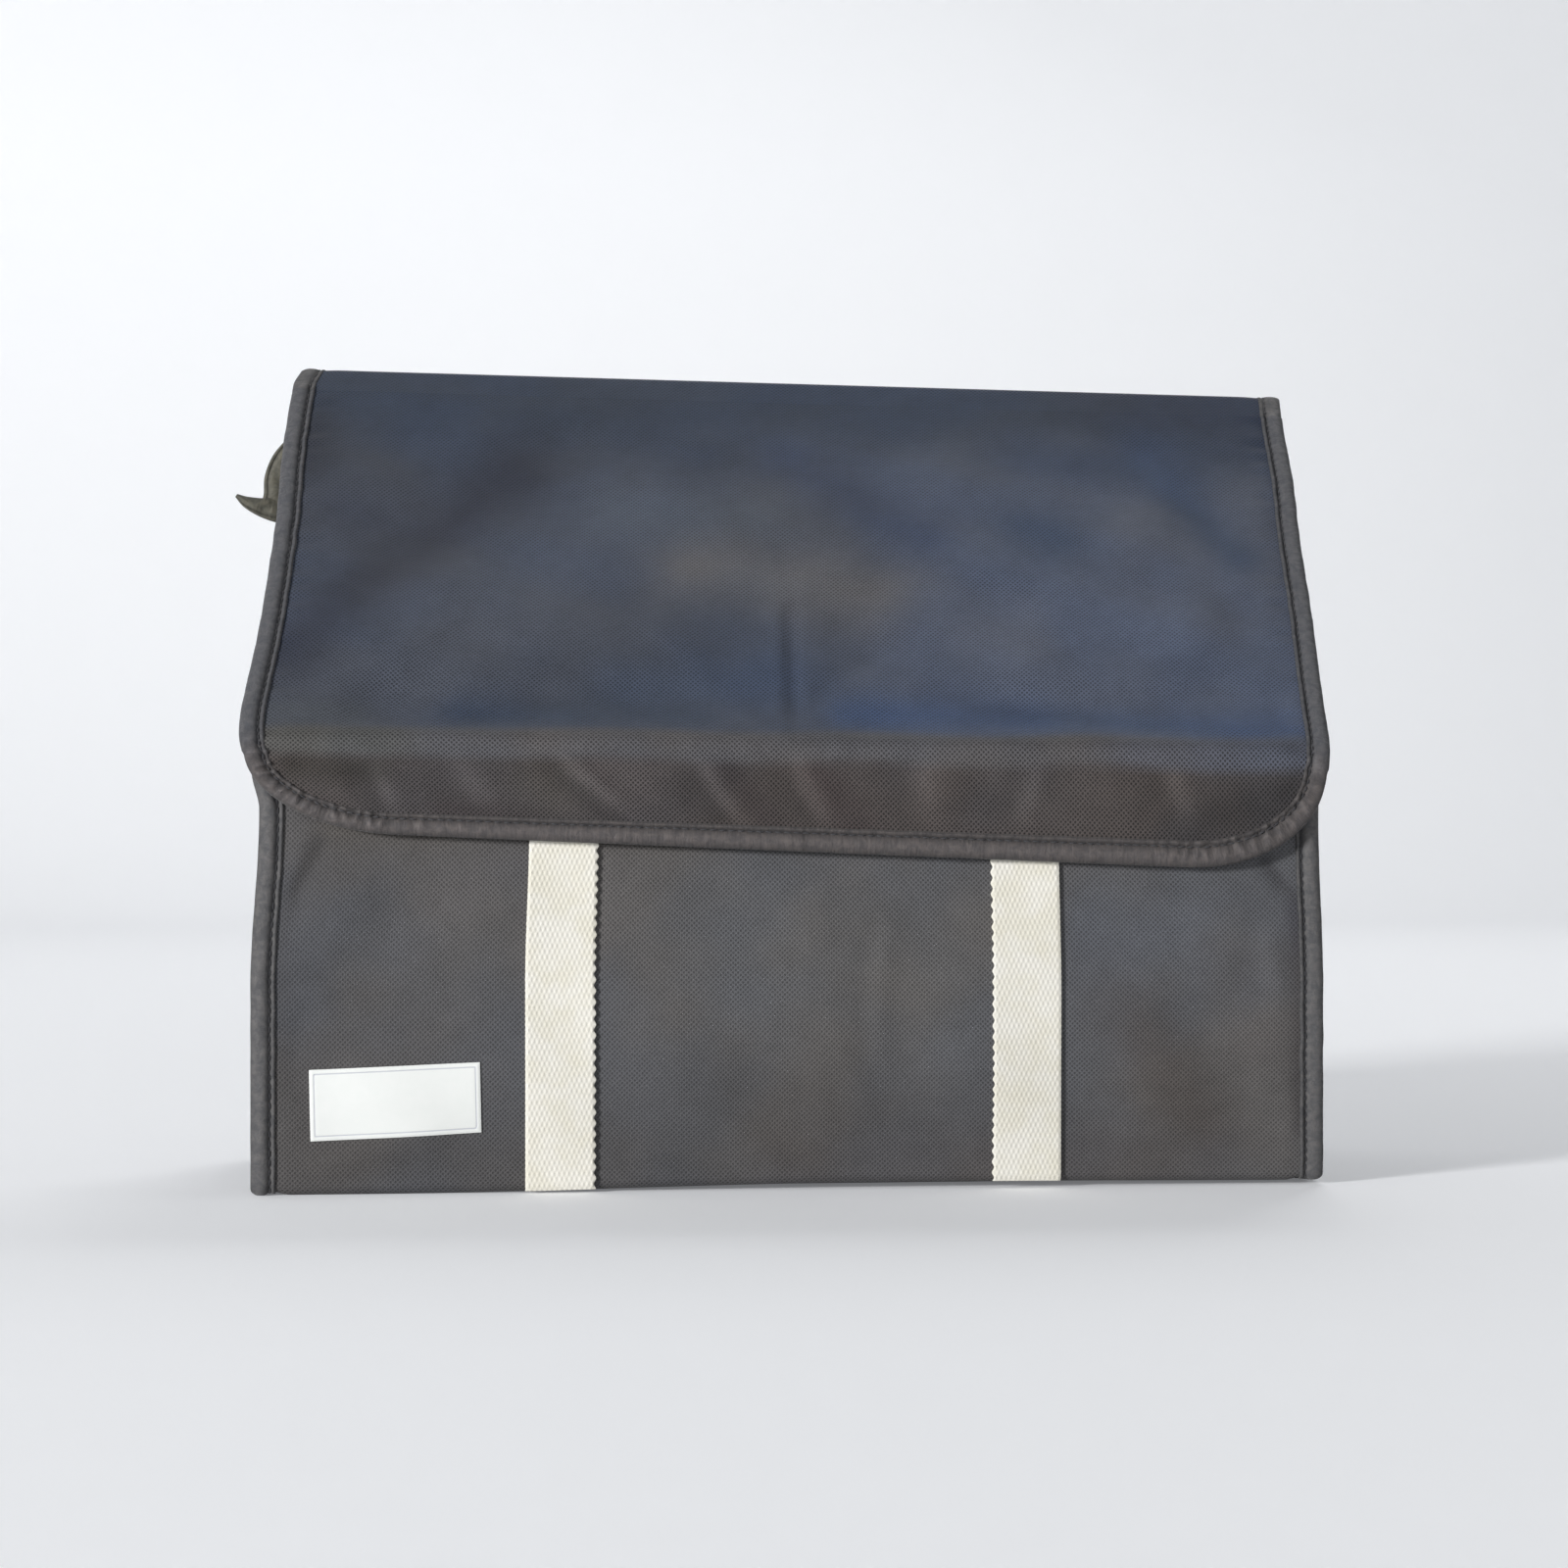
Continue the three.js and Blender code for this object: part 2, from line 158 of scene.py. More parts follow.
def wander(a, length, seed, waves=6):
    """Irregular soft waves of about unit height along one distance."""
    draw = np.random.RandomState(seed)
    total = 0.0
    for _ in range(waves):
        phase = draw.uniform(0, 2 * math.pi)
        total = total + np.sin(2 * math.pi * a / (length * draw.uniform(0.6, 1.6)) + phase)
    return total / math.sqrt(waves / 2)


def crumple(a, b, coarse, fine, seed, least):
    """A lining's crinkles, cut off where they would pass through the foam."""
    return np.maximum(coarse * ripple(a, b, 19, seed) + fine * ripple(a, b, 8, seed + 1), -least)


def crease(a, b, start, end, width, valley=0.6, bend=0.0):
    """A sharp soft ridge with a valley beside it, from start to end, bowed by bend."""
    run_a, run_b = end[0] - start[0], end[1] - start[1]
    length = math.hypot(run_a, run_b)
    along = ((a - start[0]) * run_a + (b - start[1]) * run_b) / length**2
    across = ((a - start[0]) * run_b - (b - start[1]) * run_a) / length
    across = (across - bend * 4 * along * (1 - along)) / width
    shape = np.exp(-across**2) - valley * np.exp(-((across - 1.5) ** 2) / 1.6)
    return shape * smooth(along, -0.12, 0.3) * (1 - smooth(along, 0.65, 1.12))


def creases(a, b, rows):
    """The sum of many creases. Each row is a height and then start, end, width, valley and bend of one."""
    return sum(height * crease(a, b, *row) for height, *row in rows)


def settle(x, y, z):
    """The whole bag leans a little to its right, and its right side stands lower."""
    top = smooth(z, rim_z, bag_top)
    moved_x = x + lean_right * (z / bag_top) * (y - front_y) / (back_y - front_y)
    moved_x = moved_x + corner_in * smooth(-x, 168, 196) * smooth(z, 302, bag_top)
    moved_z = z - x / flap_x * (drop_right * np.clip(z / rim_z, 0, 1) + top_tilt * top) + top_rise * top
    return np.stack(np.broadcast_arrays(moved_x, y, moved_z), -1)


def settle_body(x, y, z):
    """The body also draws in at the front, under the lid. Nothing sinks into the floor."""
    forward = np.clip((back_y - y) / (back_y - front_y), 0, 1)
    drawn_left = waist_left * smooth(z, 75, 136) - waist_back_out * smooth(z, 138, 152)
    drawn = np.where(x < 0, drawn_left, waist_right * smooth(z, 75, 138))
    shaped = x * (1 + (widen - drawn * forward**2) / panel_x)
    lifted = heel_lift * smooth(x, -150, 30) * (1 - 0.35 * smooth(x, 60, panel_x))
    lifted = lifted * smooth(-y, 45, 70) * (1 - smooth(z, 0, 60))
    return settle(shaped, y, np.maximum(z, 0.0) + lifted)


# Meshes
def steps(start, end, spacing):
    """Even places from start to end, about the spacing apart."""
    return np.linspace(start, end, max(2, int(round(abs(end - start) / spacing)) + 1))


def chain(*runs):
    """Runs of places joined into one, without repeats."""
    return np.concatenate([runs[0]] + [run[1:] for run in runs[1:]])


def layer_grid(u, v):
    return np.meshgrid(u, v, indexing="ij")


def flat_cloth(a, b, grain=0.0):
    """Places on a cloth laid flat, with how much stronger its pressed points show there."""
    return np.stack(np.broadcast_arrays(a, b, grain), -1)


def signed_volume(points, quads):
    a, b, c, d = (points[quads[:, i]] for i in range(4))
    return (np.einsum("ij,ij->", a, np.cross(b, c)) + np.einsum("ij,ij->", a, np.cross(c, d))) / 6


def add_layer(mesh, name, kind, field, values):
    layer = mesh.attributes.new(name, kind, "POINT")
    layer.data.foreach_set(field, np.asarray(values, np.float32).reshape(-1))


def make_mesh(name, points, quads, caps, cloth, tint, material):
    """A smooth mesh object from points in millimetres, faces pointing out."""
    points = points.reshape(-1, 3)
    if signed_volume(points, quads) < 0:
        quads = quads[:, ::-1]
        caps = [cap[::-1] for cap in caps]
    mesh = bpy.data.meshes.new(name)
    mesh.from_pydata((points * MM).tolist(), [], quads.tolist() + caps)
    mesh.polygons.foreach_set("use_smooth", np.ones(len(mesh.polygons), bool))
    mesh.set_sharp_from_angle(angle=SMOOTH_ANGLE)
    add_layer(mesh, "cloth", "FLOAT_VECTOR", "vector", points if cloth is None else cloth)
    # The tint layer carries painted light and shade where a piece has any.
    colours = np.ones((len(points), 4))
    if tint is not None:
        colours[:, :3] = tint.reshape(-1, 3)
    add_layer(mesh, "tint", "FLOAT_COLOR", "color", colours)
    mesh.update()
    made = bpy.data.objects.new(name, mesh)
    bpy.context.scene.collection.objects.link(made)
    mesh.materials.append(material)
    return made


def grid_quads(rows, columns, closed=False):
    """Quads of a grid of points numbered row by row. A closed grid joins its last column to its first."""
    row, column = layer_grid(np.arange(rows - 1), np.arange(columns if closed else columns - 1))
    after = (column + 1) % columns
    corners = [row * columns + column, row * columns + after,
               (row + 1) * columns + after, (row + 1) * columns + column]
    return np.stack(corners, -1).reshape(-1, 4)


def slab(name, outer, inner, cloth, material, tint=None):
    """A closed sheet between two grids of points."""
    rows, columns = outer.shape[:2]
    count = rows * columns
    upper = grid_quads(rows, columns)
    lower = upper[:, ::-1] + count
    ring = np.concatenate([
        np.arange(columns), np.arange(1, rows) * columns + columns - 1,
        (rows - 1) * columns + np.arange(columns - 2, -1, -1), np.arange(rows - 2, 0, -1) * columns])
    after = np.roll(ring, -1)
    sides = np.stack([ring, ring + count, after + count, after], -1)
    return make_mesh(name, np.stack([outer, inner]), np.concatenate([upper, lower, sides]), [],
                     np.stack([cloth, cloth]), None if tint is None else np.stack([tint, tint]), material)


def loft(name, rings, material, cloth=None, tint=None):
    """A closed solid through rings of points, with flat ends."""
    rows, columns = rings.shape[:2]
    last = (rows - 1) * columns
    caps = [list(range(columns))[::-1], list(range(last, last + columns))]
    return make_mesh(name, rings, grid_quads(rows, columns, True), caps, cloth, tint, material)


def curve(points, count):
    """A smooth line through points (Catmull-Rom), as count places."""
    points = np.asarray(points, float)
    padded = np.concatenate([[2 * points[0] - points[1]], points, [2 * points[-1] - points[-2]]])
    place = np.linspace(0, len(points) - 1, count)
    part = np.minimum(place.astype(int), len(points) - 2)
    t = (place - part)[:, None]
    a, b, c, d = (padded[part + i] for i in range(4))
    return 0.5 * (2 * b + (c - a) * t + (2 * a - 5 * b + 4 * c - d) * t**2 + (3 * b - a - 3 * c + d) * t**3)


# The sheets. Heights are measured outwards from the shell's outer face.
front_flat = rim_z - bottom_radius
bottom_bend = bottom_radius * math.pi / 2
base_flat = (back_y - front_y) - 2 * bottom_radius
base_start = front_flat + bottom_bend
base_end = base_start + base_flat
back_start = base_end + bottom_bend
join_z = 296.0                       # the back panel's shell meets the roll at the top here
wrap_end = back_start + join_z - bottom_radius
crown_x = 187.0                      # the panels' soft crown fades out this far from the middle

front_creases = [
    (-0.8, (168, 130), (190, 104), 3.4, 0.7), (0.8, (176, 100), (182, 62), 5.0),
    (-0.8, (-172, 131), (-186, 104), 3.4, 0.7), (0.55, (36, 100), (33, 42), 4.0, 0.6, 3.0),
    (0.7, (-150, 120), (-108, 92), 10.0), (0.6, (120, 70), (168, 22), 10.0),
    (0.6, (-176, 8), (-120, 26), 6.0), (0.5, (108, 126), (140, 104), 8.0),
]
back_creases = [
    (0.7, (-182, 236), (-128, 205), 6.0), (0.7, (178, 262), (120, 214), 6.0),
    (0.5, (-30, 120), (40, 96), 7.0, 0.6, 3.0),
]
gusset_creases = [
    (1.1, (-64, 6), (-2, 74), 4.2), (0.9, (64, 6), (6, 74), 4.2, 0.3), (0.9, (8, 120), (52, 158), 5.0),
]
lip_creases = [
    (2.0, (-88, 0), (-50, -32), 3.6, 0.9, 2.0), (1.7, (-34, -4), (-14, -32), 4.2, 1.0, 1.5),
    (1.3, (0, -3), (14, -30), 5.0, 0.9, -1.0), (1.3, (-150, -8), (-143, -31), 4.5, 0.9),
    (1.0, (48, -2), (56, -30), 6.5), (0.9, (92, -4), (84, -30), 4.5),
    (1.0, (140, -2), (149, -28), 4.2), (0.9, (-122, -5), (-106, -30), 5.5),
]
flap_creases = [
    (-3.2, (-60, 186), (-178, 92), 24, 0.0), (-1.6, (118, 186), (182, 118), 16, 0.0),
    (-1.3, (-2.5, 78), (0.5, 4), 3.0), (-0.9, (36, 56), (6, 24), 6.0, 0.5),
    (0.8, (-66, 74), (-24, 34), 8), (0.8, (-176, 14), (-120, 70), 9),
    (-0.7, (176, 84), (150, 26), 8), (0.6, (88, 84), (128, 38), 10),
]


def wrap_section(s):
    """Depth, height and outward direction at distance s from the front rim, down and round."""
    first = np.clip((s - front_flat) / bottom_radius, 0, math.pi / 2)
    second = np.clip((s - base_end) / bottom_radius, 0, math.pi / 2)
    turn = first + second
    y = (front_y + bottom_radius * (1 - np.cos(first)) + np.clip(s - base_start, 0, base_flat)
         + bottom_radius * np.sin(second))
    z = (bottom_radius * (2 - np.sin(first) - np.cos(second)) + np.clip(front_flat - s, 0, None)
         + np.clip(s - back_start, 0, None))
    return y, z, -np.cos(turn), -np.sin(turn)


def crown(x, z, height):
    return height * (1 - np.abs(x / crown_x) ** 3) * smooth(z, 2, 50)


def front_relief(x, z):
    soft = 0.35 * ripple(x, z, 62, 3) * smooth(z, 3, 25)
    marks = (soft + creases(x, z, front_creases)) * (1 - 0.7 * smooth(z, 112, 124))
    return crown(x, z, 1.7) * (1 - smooth(z, 70, 118)) + marks


def back_relief(x, z):
    soft = 0.3 * ripple(x, z, 75, 5) * smooth(z, 3, 25)
    return (crown(x, z, 0.7) + soft + creases(x, z, back_creases)) * (1 - smooth(z, 262, 288))


def wrap_relief(x, s):
    """The panels' relief, puckered along the side seams and pressed in at the tapes."""
    z_front = rim_z - s
    z_back = s - back_start + bottom_radius
    relief = np.where(s < front_flat, front_relief(x, z_front), 0.0)
    relief = np.where(s > back_start, back_relief(x, z_back), relief)
    along = np.where(s < base_start, z_front, z_back)
    edge = gusset_x - np.abs(x)
    puckers = 0.22 * wander(along + 40 * np.sign(x), 13, 11) * np.exp(-np.clip(edge, 0, None) / 9)
    on_base = smooth(s, front_flat, base_start) * (1 - smooth(s, base_end, back_start))
    seam = -(0.35 + 0.95 * on_base) * (1 - smooth(edge, -1.5, 5))
    return (relief + puckers * (1 - on_base)) * smooth(edge, 0, 9) + seam


def wrap(x, s, height):
    """The shell of the front, base and back."""
    y, z, out_y, out_z = wrap_section(s)
    lift = height + wrap_relief(x, s)
    return settle_body(x, y + out_y * lift, z + out_z * lift)


def gusset_face(y, z):
    """Distance of a gusset's outer face from the middle: drawn in, with a pressed fold down it."""
    half = back_y - shell
    drawn = 6.5 * np.clip(1 - (y / half) ** 2, 0, 1) * smooth(z, 0, 90)
    fold_line = 1.6 * np.exp(-np.abs(y - 2) / 5.5) * smooth(z, 55, 95)
    marks = creases(y, z, gusset_creases) + 0.35 * ripple(y, z, 48, 21)
    marks = marks * smooth(half - np.abs(y), 1, 12) * smooth(z, 3, 14)
    edge = np.minimum(half - np.abs(y), z - shell)
    flare = 2.6 * np.exp(-np.clip(edge, 0, None) / 1.5)
    return gusset_x - drawn - fold_line + marks + flare


def rim_height(y):
    """Top of the gussets' sloping edge."""
    return fold_z + (y - fold_y) * math.tan(slope) - (flap_half + 0.3) / slope_cos


def gusset(side, y, z, height):
    return settle_body(side * (gusset_face(y, z) + height), y, z)


# The lid's outer face: distance t up the flap from the fold, negative down the lip
corner_y = lip_y
corner_z = hinge_z + flap_half * slope_cos + (lip_y - hinge_y + flap_half * slope_sin) * math.tan(slope)
lip_length = corner_z - lip_low_z
lip_angle = math.pi / 2 + lip_taper
fold_share = fold_radius * math.tan((lip_angle - slope) / 2)
arc_y = corner_y + fold_share * slope_cos + fold_radius * slope_sin
arc_z = corner_z + fold_share * slope_sin - fold_radius * slope_cos
flap_end = 192.0                     # the flap's shell meets the roll at the top here
lip_corner_width = 52.0
lip_corner_height = 33.0
lip_bend_t = lip_corner_height - lip_length


def lid_section(t):
    share = np.clip((t + fold_share) / (2 * fold_share), 0, 1)
    angle = lip_angle + (slope - lip_angle) * share
    out_y, out_z = -np.sin(angle), np.cos(angle)
    up = np.clip(t - fold_share, 0, None)
    down = np.clip(-fold_share - t, 0, None)
    y = arc_y + fold_radius * out_y + up * slope_cos + down * math.sin(lip_taper)
    z = arc_z + fold_radius * out_z + up * slope_sin - down * math.cos(lip_taper)
    return y, z, out_y, out_z


def lid_half(t):
    """Half the lid's width, with the step in at the fold."""
    return lip_x + (flap_x - lip_x) * smooth(t, -16, 12)


def lid_edge(x, t):
    """Distance in from the lid's outline."""
    a = np.maximum(np.abs(x) - lid_half(t) + lip_corner_width, 0)
    b = np.maximum(lip_bend_t - t, 0)
    reach = np.maximum(np.hypot(a / lip_corner_width, b / lip_corner_height), 1e-5)
    rise = np.hypot(a / lip_corner_width**2, b / lip_corner_height**2) / reach
    corner_edge = (1 - reach) / np.maximum(rise, 1 / lip_corner_width)
    return np.minimum(corner_edge, np.minimum(lid_half(t) - np.abs(x), t + lip_length))


def lid_relief(x, t):
    """The flap's broad hollows and swells, the roll along the fold and the lip's slanting folds."""
    swells = 2.8 * hump(x, 60, 120) * hump(t, 108, 50) + 1.4 * hump(x, -120, 60) * hump(t, 66, 30)
    dip = 1.5 * hump(t, 24, 11) * (0.5 + 0.8 * hump(x, -70, 50) + 1.0 * hump(x, 110, 70))
    soft = 0.45 * ripple(x, t, 62, 31) + 0.1 * ripple(x, t, 27, 32)
    flap = (swells - dip + soft + creases(x, t, flap_creases)) * smooth(t, 2, 14)
    lip = np.maximum(0.6 + creases(x, t, lip_creases) + 0.3 * ripple(x, t, 34, 33), -0.2) * smooth(-t, 1, 8)
    under_fold = -0.7 * hump(t, -9, 4) * (0.5 + 0.4 * wander(x, 90, 34) + 1.2 * hump(x, -176, 38))
    ridge = 1.1 * hump(t, 3, 6)
    relief = (flap + lip + under_fold + ridge) * (1 - smooth(t, 158, flap_end - 4))
    return relief * smooth(lid_edge(x, t), 7, 20)


def lid_pinch(x, t):
    """0 in the open padding and 1 at the bound edge, where the wall is pressed thin."""
    return 1 - smooth(lid_edge(x, t), 5.5, 17)


def lid(x, t, height, depth=0.0):
    """The lid. Height is off the outer face, and depth is a share of the wall behind it."""
    y, z, out_y, out_z = lid_section(t)
    pinch = lid_pinch(x, t)
    pucker = 0.25 * wander(t + 90 * np.sign(x), 12, 35) * hump(lid_edge(x, t), 12, 5)
    lift = height + lid_relief(x, t) - 0.4 * pinch + pucker - depth * (wall - pinch_depth * pinch)
    drop = np.clip(-t / lip_length, 0, 1) * x / lip_x * lip_drop_right
    bow_left = smooth(-x, 60, 190) * (0.9 * hump(t, 122, 26) - 2.3 * hump(t, 8, 32))
    bow_right = smooth(x, 60, 190) * 1.6 * hump(t, 152, 28)
    bow = 1.8 * hump(t, 85, 50) + bow_left + bow_right
    return settle(x + bow, y + out_y * lift, z + out_z * lift - drop)


# The roll at the top back edge: distance v up the back, round and on to the flap
roll_y = back_y - roll_radius
roll_z = hinge_z + (flap_half - roll_radius) * (1 + slope_sin) / slope_cos
roll_turn = math.pi / 2 + slope
roll_start = roll_z - join_z
roll_stop = roll_start + roll_radius * roll_turn
roll_exit_y = roll_y + roll_radius * math.cos(roll_turn)
roll_end = roll_stop + (roll_exit_y - lid_section(np.array(flap_end))[0]) / slope_cos


def roll_section(v):
    turn = np.clip((v - roll_start) / roll_radius, 0, roll_turn)
    run = np.clip(v - roll_stop, 0, None)
    y = roll_y + roll_radius * np.cos(turn) - run * slope_cos
    z = join_z + np.clip(v, 0, roll_start) + roll_radius * np.sin(turn) - run * slope_sin
    return y, z, np.cos(turn), np.sin(turn)


def roll_half(v, body_half, lid_half_width):
    return body_half + (lid_half_width - body_half) * smooth(v, roll_start - 4, roll_stop)


def roll(x, v, height):
    """The rolled edge. Its layers are squeezed so that none passes the middle of the bend."""
    y, z, out_y, out_z = roll_section(v)
    beyond = np.maximum(roll_start - v, v - roll_stop)
    lift = np.maximum(height, 0.4 - roll_radius - 0.35 * np.maximum(beyond, 0))
    return settle(x, y + out_y * lift, z + out_z * lift)


def roll_pinch(x, v):
    """How far the cloth dips under the tape at each end of the roll."""
    share = smooth(v, roll_start, roll_stop)
    edge = roll_half(v, panel_x, flap_x) - np.abs(x)
    return -0.35 * (1 - share) * (1 - smooth(edge, 7.5, 14)) - 0.4 * share * (1 - smooth(edge, 5.5, 17))


# Materials
class Value:
    """A node's output, so that sums and products of outputs are written as sums and products."""

    def __init__(self, paint, socket):
        self.paint = paint
        self.socket = socket

    def __add__(self, other):
        return self.paint.math("ADD", self, other)

    def __sub__(self, other):
        return self.paint.math("SUBTRACT", self, other)

    def __rsub__(self, other):
        return self.paint.math("SUBTRACT", other, self)

    def __mul__(self, other):
        return self.paint.math("MULTIPLY", self, other)

    __radd__ = __add__


class Paint:
    """A node material with a Principled shader, and short ways to add nodes."""

    def __init__(self, name, **constants):
        self.material = bpy.data.materials.new(name)
        self.material.use_nodes = True
        self.tree = self.material.node_tree
        self.shader = self.tree.nodes["Principled BSDF"]
        for socket, value in constants.items():
            self.shader.inputs[socket.replace("_", " ")].default_value = value
        self.cloth = self.node("ShaderNodeAttribute", "Vector", {}, attribute_name="cloth")
        self.tint = self.node("ShaderNodeAttribute", "Color", {}, attribute_name="tint")

    def put(self, socket, value):
        if isinstance(value, Value):
            self.tree.links.new(value.socket, socket)
        else:
            socket.default_value = value

    def node(self, kind, output, inputs, **settings):
        """One output of a new node with these inputs and settings."""
        node = self.tree.nodes.new(kind)
        for key, value in settings.items():
            setattr(node, key, value)
        for key, value in inputs.items():
            self.put(node.inputs[key], value)
        return Value(self, node.outputs[output])

    def math(self, operation, *values):
        return self.node("ShaderNodeMath", 0, dict(enumerate(values)), operation=operation)

    def place(self, scale, turn=0.0):
        """Places on the cloth, stretched and turned."""
        inputs = {"Vector": self.cloth, "Rotation": (0, 0, turn), "Scale": scale}
        return self.node("ShaderNodeMapping", 0, inputs)

    def noise(self, scale, detail=3.0, roughness=0.6, vector=None, distortion=0.0):
        return self.node("ShaderNodeTexNoise", "Fac", {
            "Vector": vector or self.cloth, "Scale": scale, "Detail": detail, "Roughness": roughness,
            "Distortion": distortion})

    def cells(self, scale, vector=None, randomness=1.0, **settings):
        return self.node("ShaderNodeTexVoronoi", "Distance", {
            "Vector": vector or self.cloth, "Scale": scale, "Randomness": randomness}, **settings)

    def bands(self, direction, scale, distortion=0.0, detail=2.0):
        return self.node("ShaderNodeTexWave", "Fac", {
            "Vector": self.cloth, "Scale": scale, "Distortion": distortion, "Detail": detail},
            wave_type="BANDS", bands_direction=direction)

    def span(self, value, start, end, low_value=0.0, high_value=1.0):
        inputs = dict(enumerate((value, start, end, low_value, high_value)))
        return self.node("ShaderNodeMapRange", 0, inputs, interpolation_type="SMOOTHSTEP")

    def blend(self, share, first, second):
        """Two colours mixed by a share."""
        return self.node("ShaderNodeMix", 2, {"Factor": share, 6: first, 7: second}, data_type="RGBA")

    def tinted(self, colour, shade):
        """A colour times the mesh's own tint, made brighter or darker by a number about 1."""
        product = self.node("ShaderNodeVectorMath", 0, {0: colour, 1: self.tint}, operation="MULTIPLY")
        return self.node("ShaderNodeVectorMath", 0, {0: product, "Scale": shade}, operation="SCALE")

    def third(self):
        """The cloth's third value."""
        return self.node("ShaderNodeSeparateXYZ", 2, {0: self.cloth})

    def finish(self, colour, roughness, height=None, distance=0.0, strength=1.0):
        """The material with this colour, roughness and relief."""
        self.put(self.shader.inputs["Base Color"], colour)
        self.put(self.shader.inputs["Roughness"], roughness)
        if height is not None:
            inputs = {"Height": height, "Distance": distance, "Strength": strength}
            self.put(self.shader.inputs["Normal"], self.node("ShaderNodeBump", 0, inputs))
        return self.material


def srgb(red, green, blue):
    """A colour as it is seen, from 0 to 255, as the shader wants it."""
    return tuple((v / 255 / 12.92) if v < 11 else ((v / 255 + 0.055) / 1.055) ** 2.4
                 for v in (red, green, blue)) + (1.0,)


def make_spunbond():
    """Non-woven cloth: a staggered lattice of pressed points over tangled fibres."""
    paint = Paint("spunbond", Sheen_Weight=0.06, Sheen_Roughness=0.5, Specular_IOR_Level=0.3)
    point_spacing = 1.8 / math.sqrt(2)
    lattice = paint.place((1 / point_spacing,) * 3, math.radians(45))
    point = paint.span(paint.cells(1.0, lattice, 0.1, voronoi_dimensions="2D"), 0.2, 0.42, 1.0, 0.0)
    fibre = paint.noise(1.9, 4.0, 0.65, distortion=0.8)
    streak = paint.noise(1.0, 3.0, 0.6, paint.place((0.25, 2.2, 1), math.radians(28)))
    cloud = paint.noise(0.013, 2.0, 0.5)
    patch = paint.noise(0.028, 3.0, 0.55)
    worn = paint.noise(0.12)
    colour = paint.blend(paint.span(cloud, 0.38, 0.62), srgb(80, 81, 84), srgb(83, 81, 80))
    shade = 1.0
    for grain, strength in ((patch, 0.5), (worn, 0.3), (fibre, 0.5), (streak, 0.14)):
        shade = shade + (grain - 0.5) * strength
    shade = (shade + 0.12) - point * (1.0 + paint.third()) * 0.55
    relief = fibre * 0.5 - point * 0.8
    return paint.finish(paint.tinted(colour, shade), 0.7 - point * 0.14, relief, 0.00016, 0.9)


def make_tape():
    """The same cloth as a narrow folded tape, crushed and mottled."""
    paint = Paint("binding_tape", Sheen_Weight=0.15, Sheen_Roughness=0.5, Specular_IOR_Level=0.4)
    mottle = paint.noise(0.33, 4.0, 0.62, distortion=0.6)
    fine = paint.noise(1.6)
    across = paint.noise(1.0, 2.0, 0.5, paint.place((1.1, 0.22, 1)))
    colour = paint.blend(paint.span(mottle, 0.35, 0.68), srgb(74, 74, 76), srgb(89, 87, 87))
    relief = mottle + across * 0.8 + fine * 0.3
    roughness = paint.span(mottle, 0.3, 0.7, 0.82, 0.66)
    return paint.finish(paint.tinted(colour, fine * 0.35 + 0.82), roughness, relief, 0.0005, 0.7)


def make_webbing():
    """Cream webbing: each raised knot of the weave has fine yarns along it."""
    paint = Paint("cream_webbing", Sheen_Weight=0.1, Sheen_Roughness=0.4, Specular_IOR_Level=0.4)
    yarn = paint.bands("Y", 1.1, 1.4, 1.5)
    soil = paint.noise(0.06)
    fuzz = paint.noise(2.6)
    colour = paint.blend(paint.span(soil, 0.35, 0.65), srgb(229, 226, 217), srgb(223, 219, 205))
    colour = paint.tinted(colour, 0.9 + (yarn + fuzz) * 0.07)
    return paint.finish(colour, 0.78, yarn * 0.6 + fuzz, 0.0001, 0.6)


def make_label_cloth():
    """White satin label with a thin printed border. The third cloth value is the distance from its edge."""
    paint = Paint("label_cloth", Specular_IOR_Level=0.45, Sheen_Weight=0.05)
    inset = paint.third()
    line = paint.span(inset, 1.35, 1.6) * paint.span(inset, 2.0, 1.75)
    weave = paint.bands("DIAGONAL", 1.6)
    dust = paint.noise(0.22)
    colour = paint.blend(dust, srgb(220, 223, 220), srgb(226, 227, 225))
    colour = paint.blend(line * 0.75, colour, srgb(168, 170, 182))
    return paint.finish(colour, paint.span(dust, 0.3, 0.7, 0.5, 0.6), weave * 0.3 - line, 0.00008, 0.6)


def make_foil():
    """Heat-sealed foil lining: bright, with a net of fine crinkles."""
    paint = Paint("foil_lining", Metallic=0.85, Specular_IOR_Level=0.5)
    net = paint.cells(1.0, paint.place((0.12,) * 3), voronoi_dimensions="2D", feature="DISTANCE_TO_EDGE")
    crinkle = paint.noise(0.35, 5.0, 0.6, distortion=1.2)
    colour = paint.blend(paint.noise(0.03), srgb(196, 199, 204), srgb(216, 218, 221))
    return paint.finish(colour, paint.span(crinkle, 0.3, 0.7, 0.26, 0.42), net * 1.2 + crinkle, 0.0007, 0.8)


def make_foam():
    paint = Paint("closed_cell_foam", Specular_IOR_Level=0.3)
    cells = paint.cells(1.4, voronoi_dimensions="3D")
    colour = paint.blend(cells, srgb(226, 226, 220), srgb(205, 205, 200))
    return paint.finish(colour, 0.9, cells, 0.0002, 0.7)


def make_board():
    paint = Paint("base_board_skin", Specular_IOR_Level=0.4)
    grain = paint.noise(0.9, 5.0, 0.65)
    colour = paint.blend(paint.noise(0.05), srgb(38, 39, 42), srgb(54, 55, 58))
    return paint.finish(colour, paint.span(grain, 0.3, 0.7, 0.55, 0.75), grain, 0.0003, 0.6)


def make_closure():
    paint = Paint("hook_and_loop", Sheen_Weight=0.3, Sheen_Roughness=0.6, Specular_IOR_Level=0.3)
    fuzz = paint.noise(2.2, 4.0, 0.7)
    return paint.finish(paint.blend(fuzz, srgb(48, 49, 53), srgb(82, 83, 88)), 0.95, fuzz, 0.0004, 0.9)


